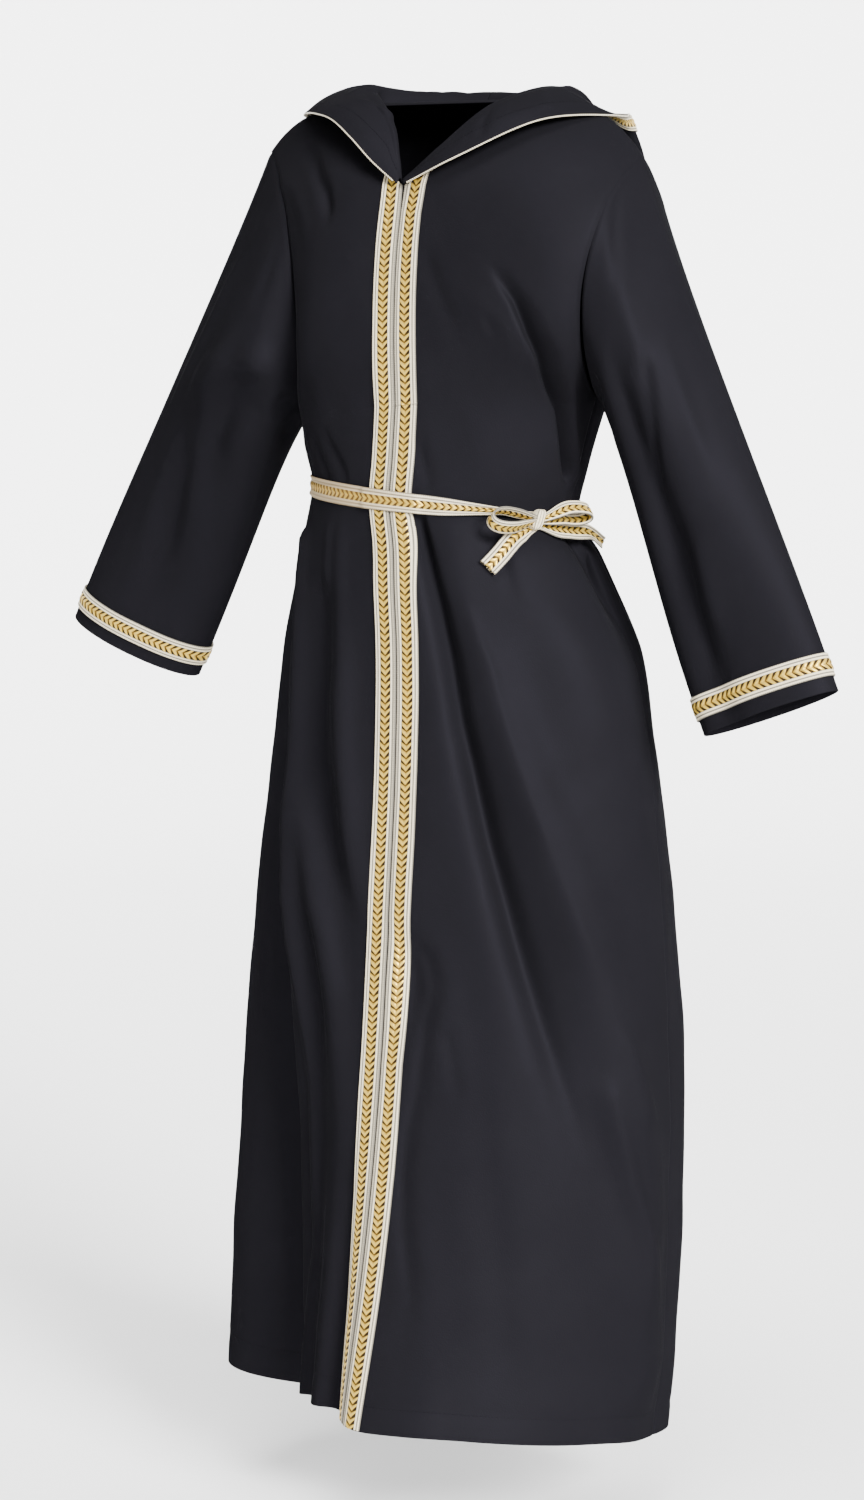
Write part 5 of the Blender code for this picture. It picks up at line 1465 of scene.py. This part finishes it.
# Cut ends: how far each share of the width stands back, and the loose threads' count.
NOTCH = ((0.0, 0.0), (0.30, 0.0006), (0.36, 0.0030), (0.42, 0.0004), (0.66, 0.0000),
         (0.72, 0.0014), (0.78, 0.0), (1.0, 0.0005))
FRAY_THREADS = 34
FRAY_RADIUS = 0.00010


def bow_frame():
    """The bow's place on the belt and its directions: out, to the left, and up."""
    angle = np.array((BOW_ANGLE - 0.5, BOW_ANGLE, BOW_ANGLE + 0.5))
    points = draped(ring_points(np.full(3, BOW_LEVEL), angle), creases=False)
    along = unit(points[2] - points[0])
    out = unit(np.cross(along, np.array((0.0, 0.0, 1.0))))
    return points[1] + out * (BELT_LIFT + BELT_CLOTH), out, along, np.cross(out, along)


def rounded(value):
    """A sine or cosine raised to the knot's rounding, with its sign kept."""
    return np.sign(value) * np.abs(value) ** KNOT_ROUNDING


place, out, along, up_at = bow_frame()
around = np.linspace(0.0, 2 * np.pi, 61)[:-1]
lat = np.radians(np.linspace(-86.0, 86.0, 49))[:, None]
# The knot is a box with rounded sides, and the tape's wraps stand up in ridges round it.
level_part, high = rounded(np.cos(lat)), rounded(np.sin(lat))
beside, ahead = rounded(np.cos(around)), rounded(np.sin(around))
turned = KNOT_WRAPS * (beside + 1.0) / 2 + 0.10 * high
wrap = KNOT_RIDGE * np.abs(np.sin(np.pi * turned)) ** 0.6
grid = (place + out * KNOT_LIFT
        + (beside * level_part * (KNOT[0] - KNOT_SINK[0])
           + high * KNOT[2] * KNOT_SLANT)[..., None] * along
        + (ahead * level_part * (KNOT[1] - KNOT_SINK[1] + wrap))[..., None] * out
        + (high * (KNOT[2] - KNOT_SINK[1] + wrap))[..., None] * up_at)
turned = np.abs(np.concatenate([turned, turned[:, :1]], axis=1) % 1.0 - 0.5)
uv = np.stack(np.broadcast_arrays(0.0068 - 0.0080 * turned, lat * KNOT[2]), axis=-1)
bow_braid = make_braid("gold_braid_bow", BELT_WIDTH, 1, BELT_PLAIT_HALF)
on_body(mesh_piece("bow_knot", grid, bow_braid, uv, closed=True, caps=True), "braid_tape",
        "belt_knot")

for side, word in BOTH_SIDES:
    turn = np.linspace(0.06, 1.94, 150) * np.pi
    bulge = np.sin(turn / 2) ** 1.3
    reach = KNOT[0] - 0.002 + LOOP_REACH[side] * (bulge - bulge[0])
    spread = (LOOP_SPREAD[side] * np.sin(turn) * np.sin(turn / 2) ** 0.5
              + LOOP_ROOT * np.cos(turn / 2))
    tip = (LOOP_TIP[side] + LOOP_TWIST[side] * np.sin(turn))[:, None]
    level_part = (1 - tip ** 2) ** 0.5
    apart = level_part * up_at + tip * out
    broad = level_part * out - tip * up_at
    middle = (place + np.outer(KNOT_LIFT + LOOP_LIFT + LOOP_FLARE * bulge, out)
              + np.outer(reach * side, along) + spread[:, None] * apart
              + np.outer(smooth(0.0, 0.6, reach / LOOP_REACH[side]) * LOOP_RISE[side], up_at))
    pinch = 0.55 + 0.45 * smooth(0.0, 0.45, bulge)
    share = np.linspace(0.5, -0.5, 26)
    base = (middle[:, None]
            + (share[None] * LOOP_WIDTH * pinch[:, None])[..., None] * broad[:, None])
    normals = normals_of(base)
    shows = LOOP_SHOWS if side < 0 else (-LOOP_SHOWS[1], -LOOP_SHOWS[0])
    u = np.broadcast_to(np.interp(share, (-0.5, 0.5), shows), base.shape[:2])
    v = np.broadcast_to(run_of(middle[:, None], 0), u.shape)
    braid_strip(f"bow_{word}_loop", f"bow_loop_{word}", base, normals, u, v, bow_braid,
                BELT_WIDTH, lift=-TAPE_THICK / 2, half=BELT_PLAIT_HALF, held="folded",
                rests_on=["bow_knot"])

fray_thread = Finish("fray_thread", Base_Color=(0.62, 0.50, 0.30, 1.0), Roughness=0.6).material
for word, (angles, levels, lifts) in TAILS.items():
    stop = np.linspace(0.0, 1.0, len(angles))
    f = np.linspace(0.0, 1.0, 60)
    angle, level, lift = (through(stop, values, f) for values in (angles, levels, lifts))
    middle = draped(ring_points(level, angle), creases=False)
    beside = draped(ring_points(level, angle + 1.0), creases=False)
    below = draped(ring_points(level - 0.004, angle), creases=False)
    away = unit(np.cross(beside - middle, middle - below))
    middle = middle + away * lift[:, None]
    run = unit(np.gradient(middle, axis=0))
    across_to = unit(np.cross(away, run))
    width = TAIL_START + (TAIL_WIDTH - TAIL_START) * smooth(0.0, 0.35, f)
    share = np.linspace(0.5, -0.5, 34)
    base = middle[:, None] + (share[None] * width[:, None])[..., None] * across_to[:, None]
    back = np.interp(share + 0.5, *np.array(NOTCH).T) * smooth(0.85, 1.0, f)[:, None]
    curl = TAIL_CURL * (2.0 * share[None]) ** 2 * smooth(0.1, 0.6, f)[:, None]
    base = base - back[..., None] * run[:, None] + curl[..., None] * away[:, None]
    normals = np.broadcast_to(away[:, None], base.shape)
    u = np.broadcast_to(share * BELT_WIDTH, base.shape[:2])
    run_down = run_of(middle[:, None], 0)
    v = run_down - back
    braid_strip(f"bow_{word}_tail", f"belt_tail_{word}", base, normals, u, v, bow_braid,
                BELT_WIDTH, lift=-TAPE_THICK / 2, flipped=True, half=BELT_PLAIT_HALF,
                length=float(run_down[-1, 0]), held="hung",
                rests_on=["bow_knot", "front_left_panel"])
    ends = np.linspace(-0.47, 0.47, FRAY_THREADS)
    reach = 0.0004 + 0.0010 * np.abs(np.sin(9.7 * np.arange(FRAY_THREADS) ** 1.3)) ** 2
    swing = 0.0006 * np.sin(5.3 * np.arange(FRAY_THREADS) ** 1.1)
    root = np.stack([np.interp(ends, share[::-1], line[::-1]) for line in base[-1].T], axis=1)
    tip = (root + reach[:, None] * run[-1] + swing[:, None] * across_to[-1]
           + swing[:, None] * away[-1])
    turn = np.radians((90.0, 210.0, 330.0))[None, None, :, None]
    part = np.array((0.0, 0.55, 1.0))[None, :, None, None]
    spot = (root[:, None, None] * (1.0 - part) + tip[:, None, None] * part
            + FRAY_RADIUS * (1.0 - 0.5 * part)
            * (np.cos(turn) * across_to[-1] + np.sin(turn) * away[-1]))
    bars_piece(f"bow_{word}_fray", spot, fray_thread, "braid_tape", soft=False)
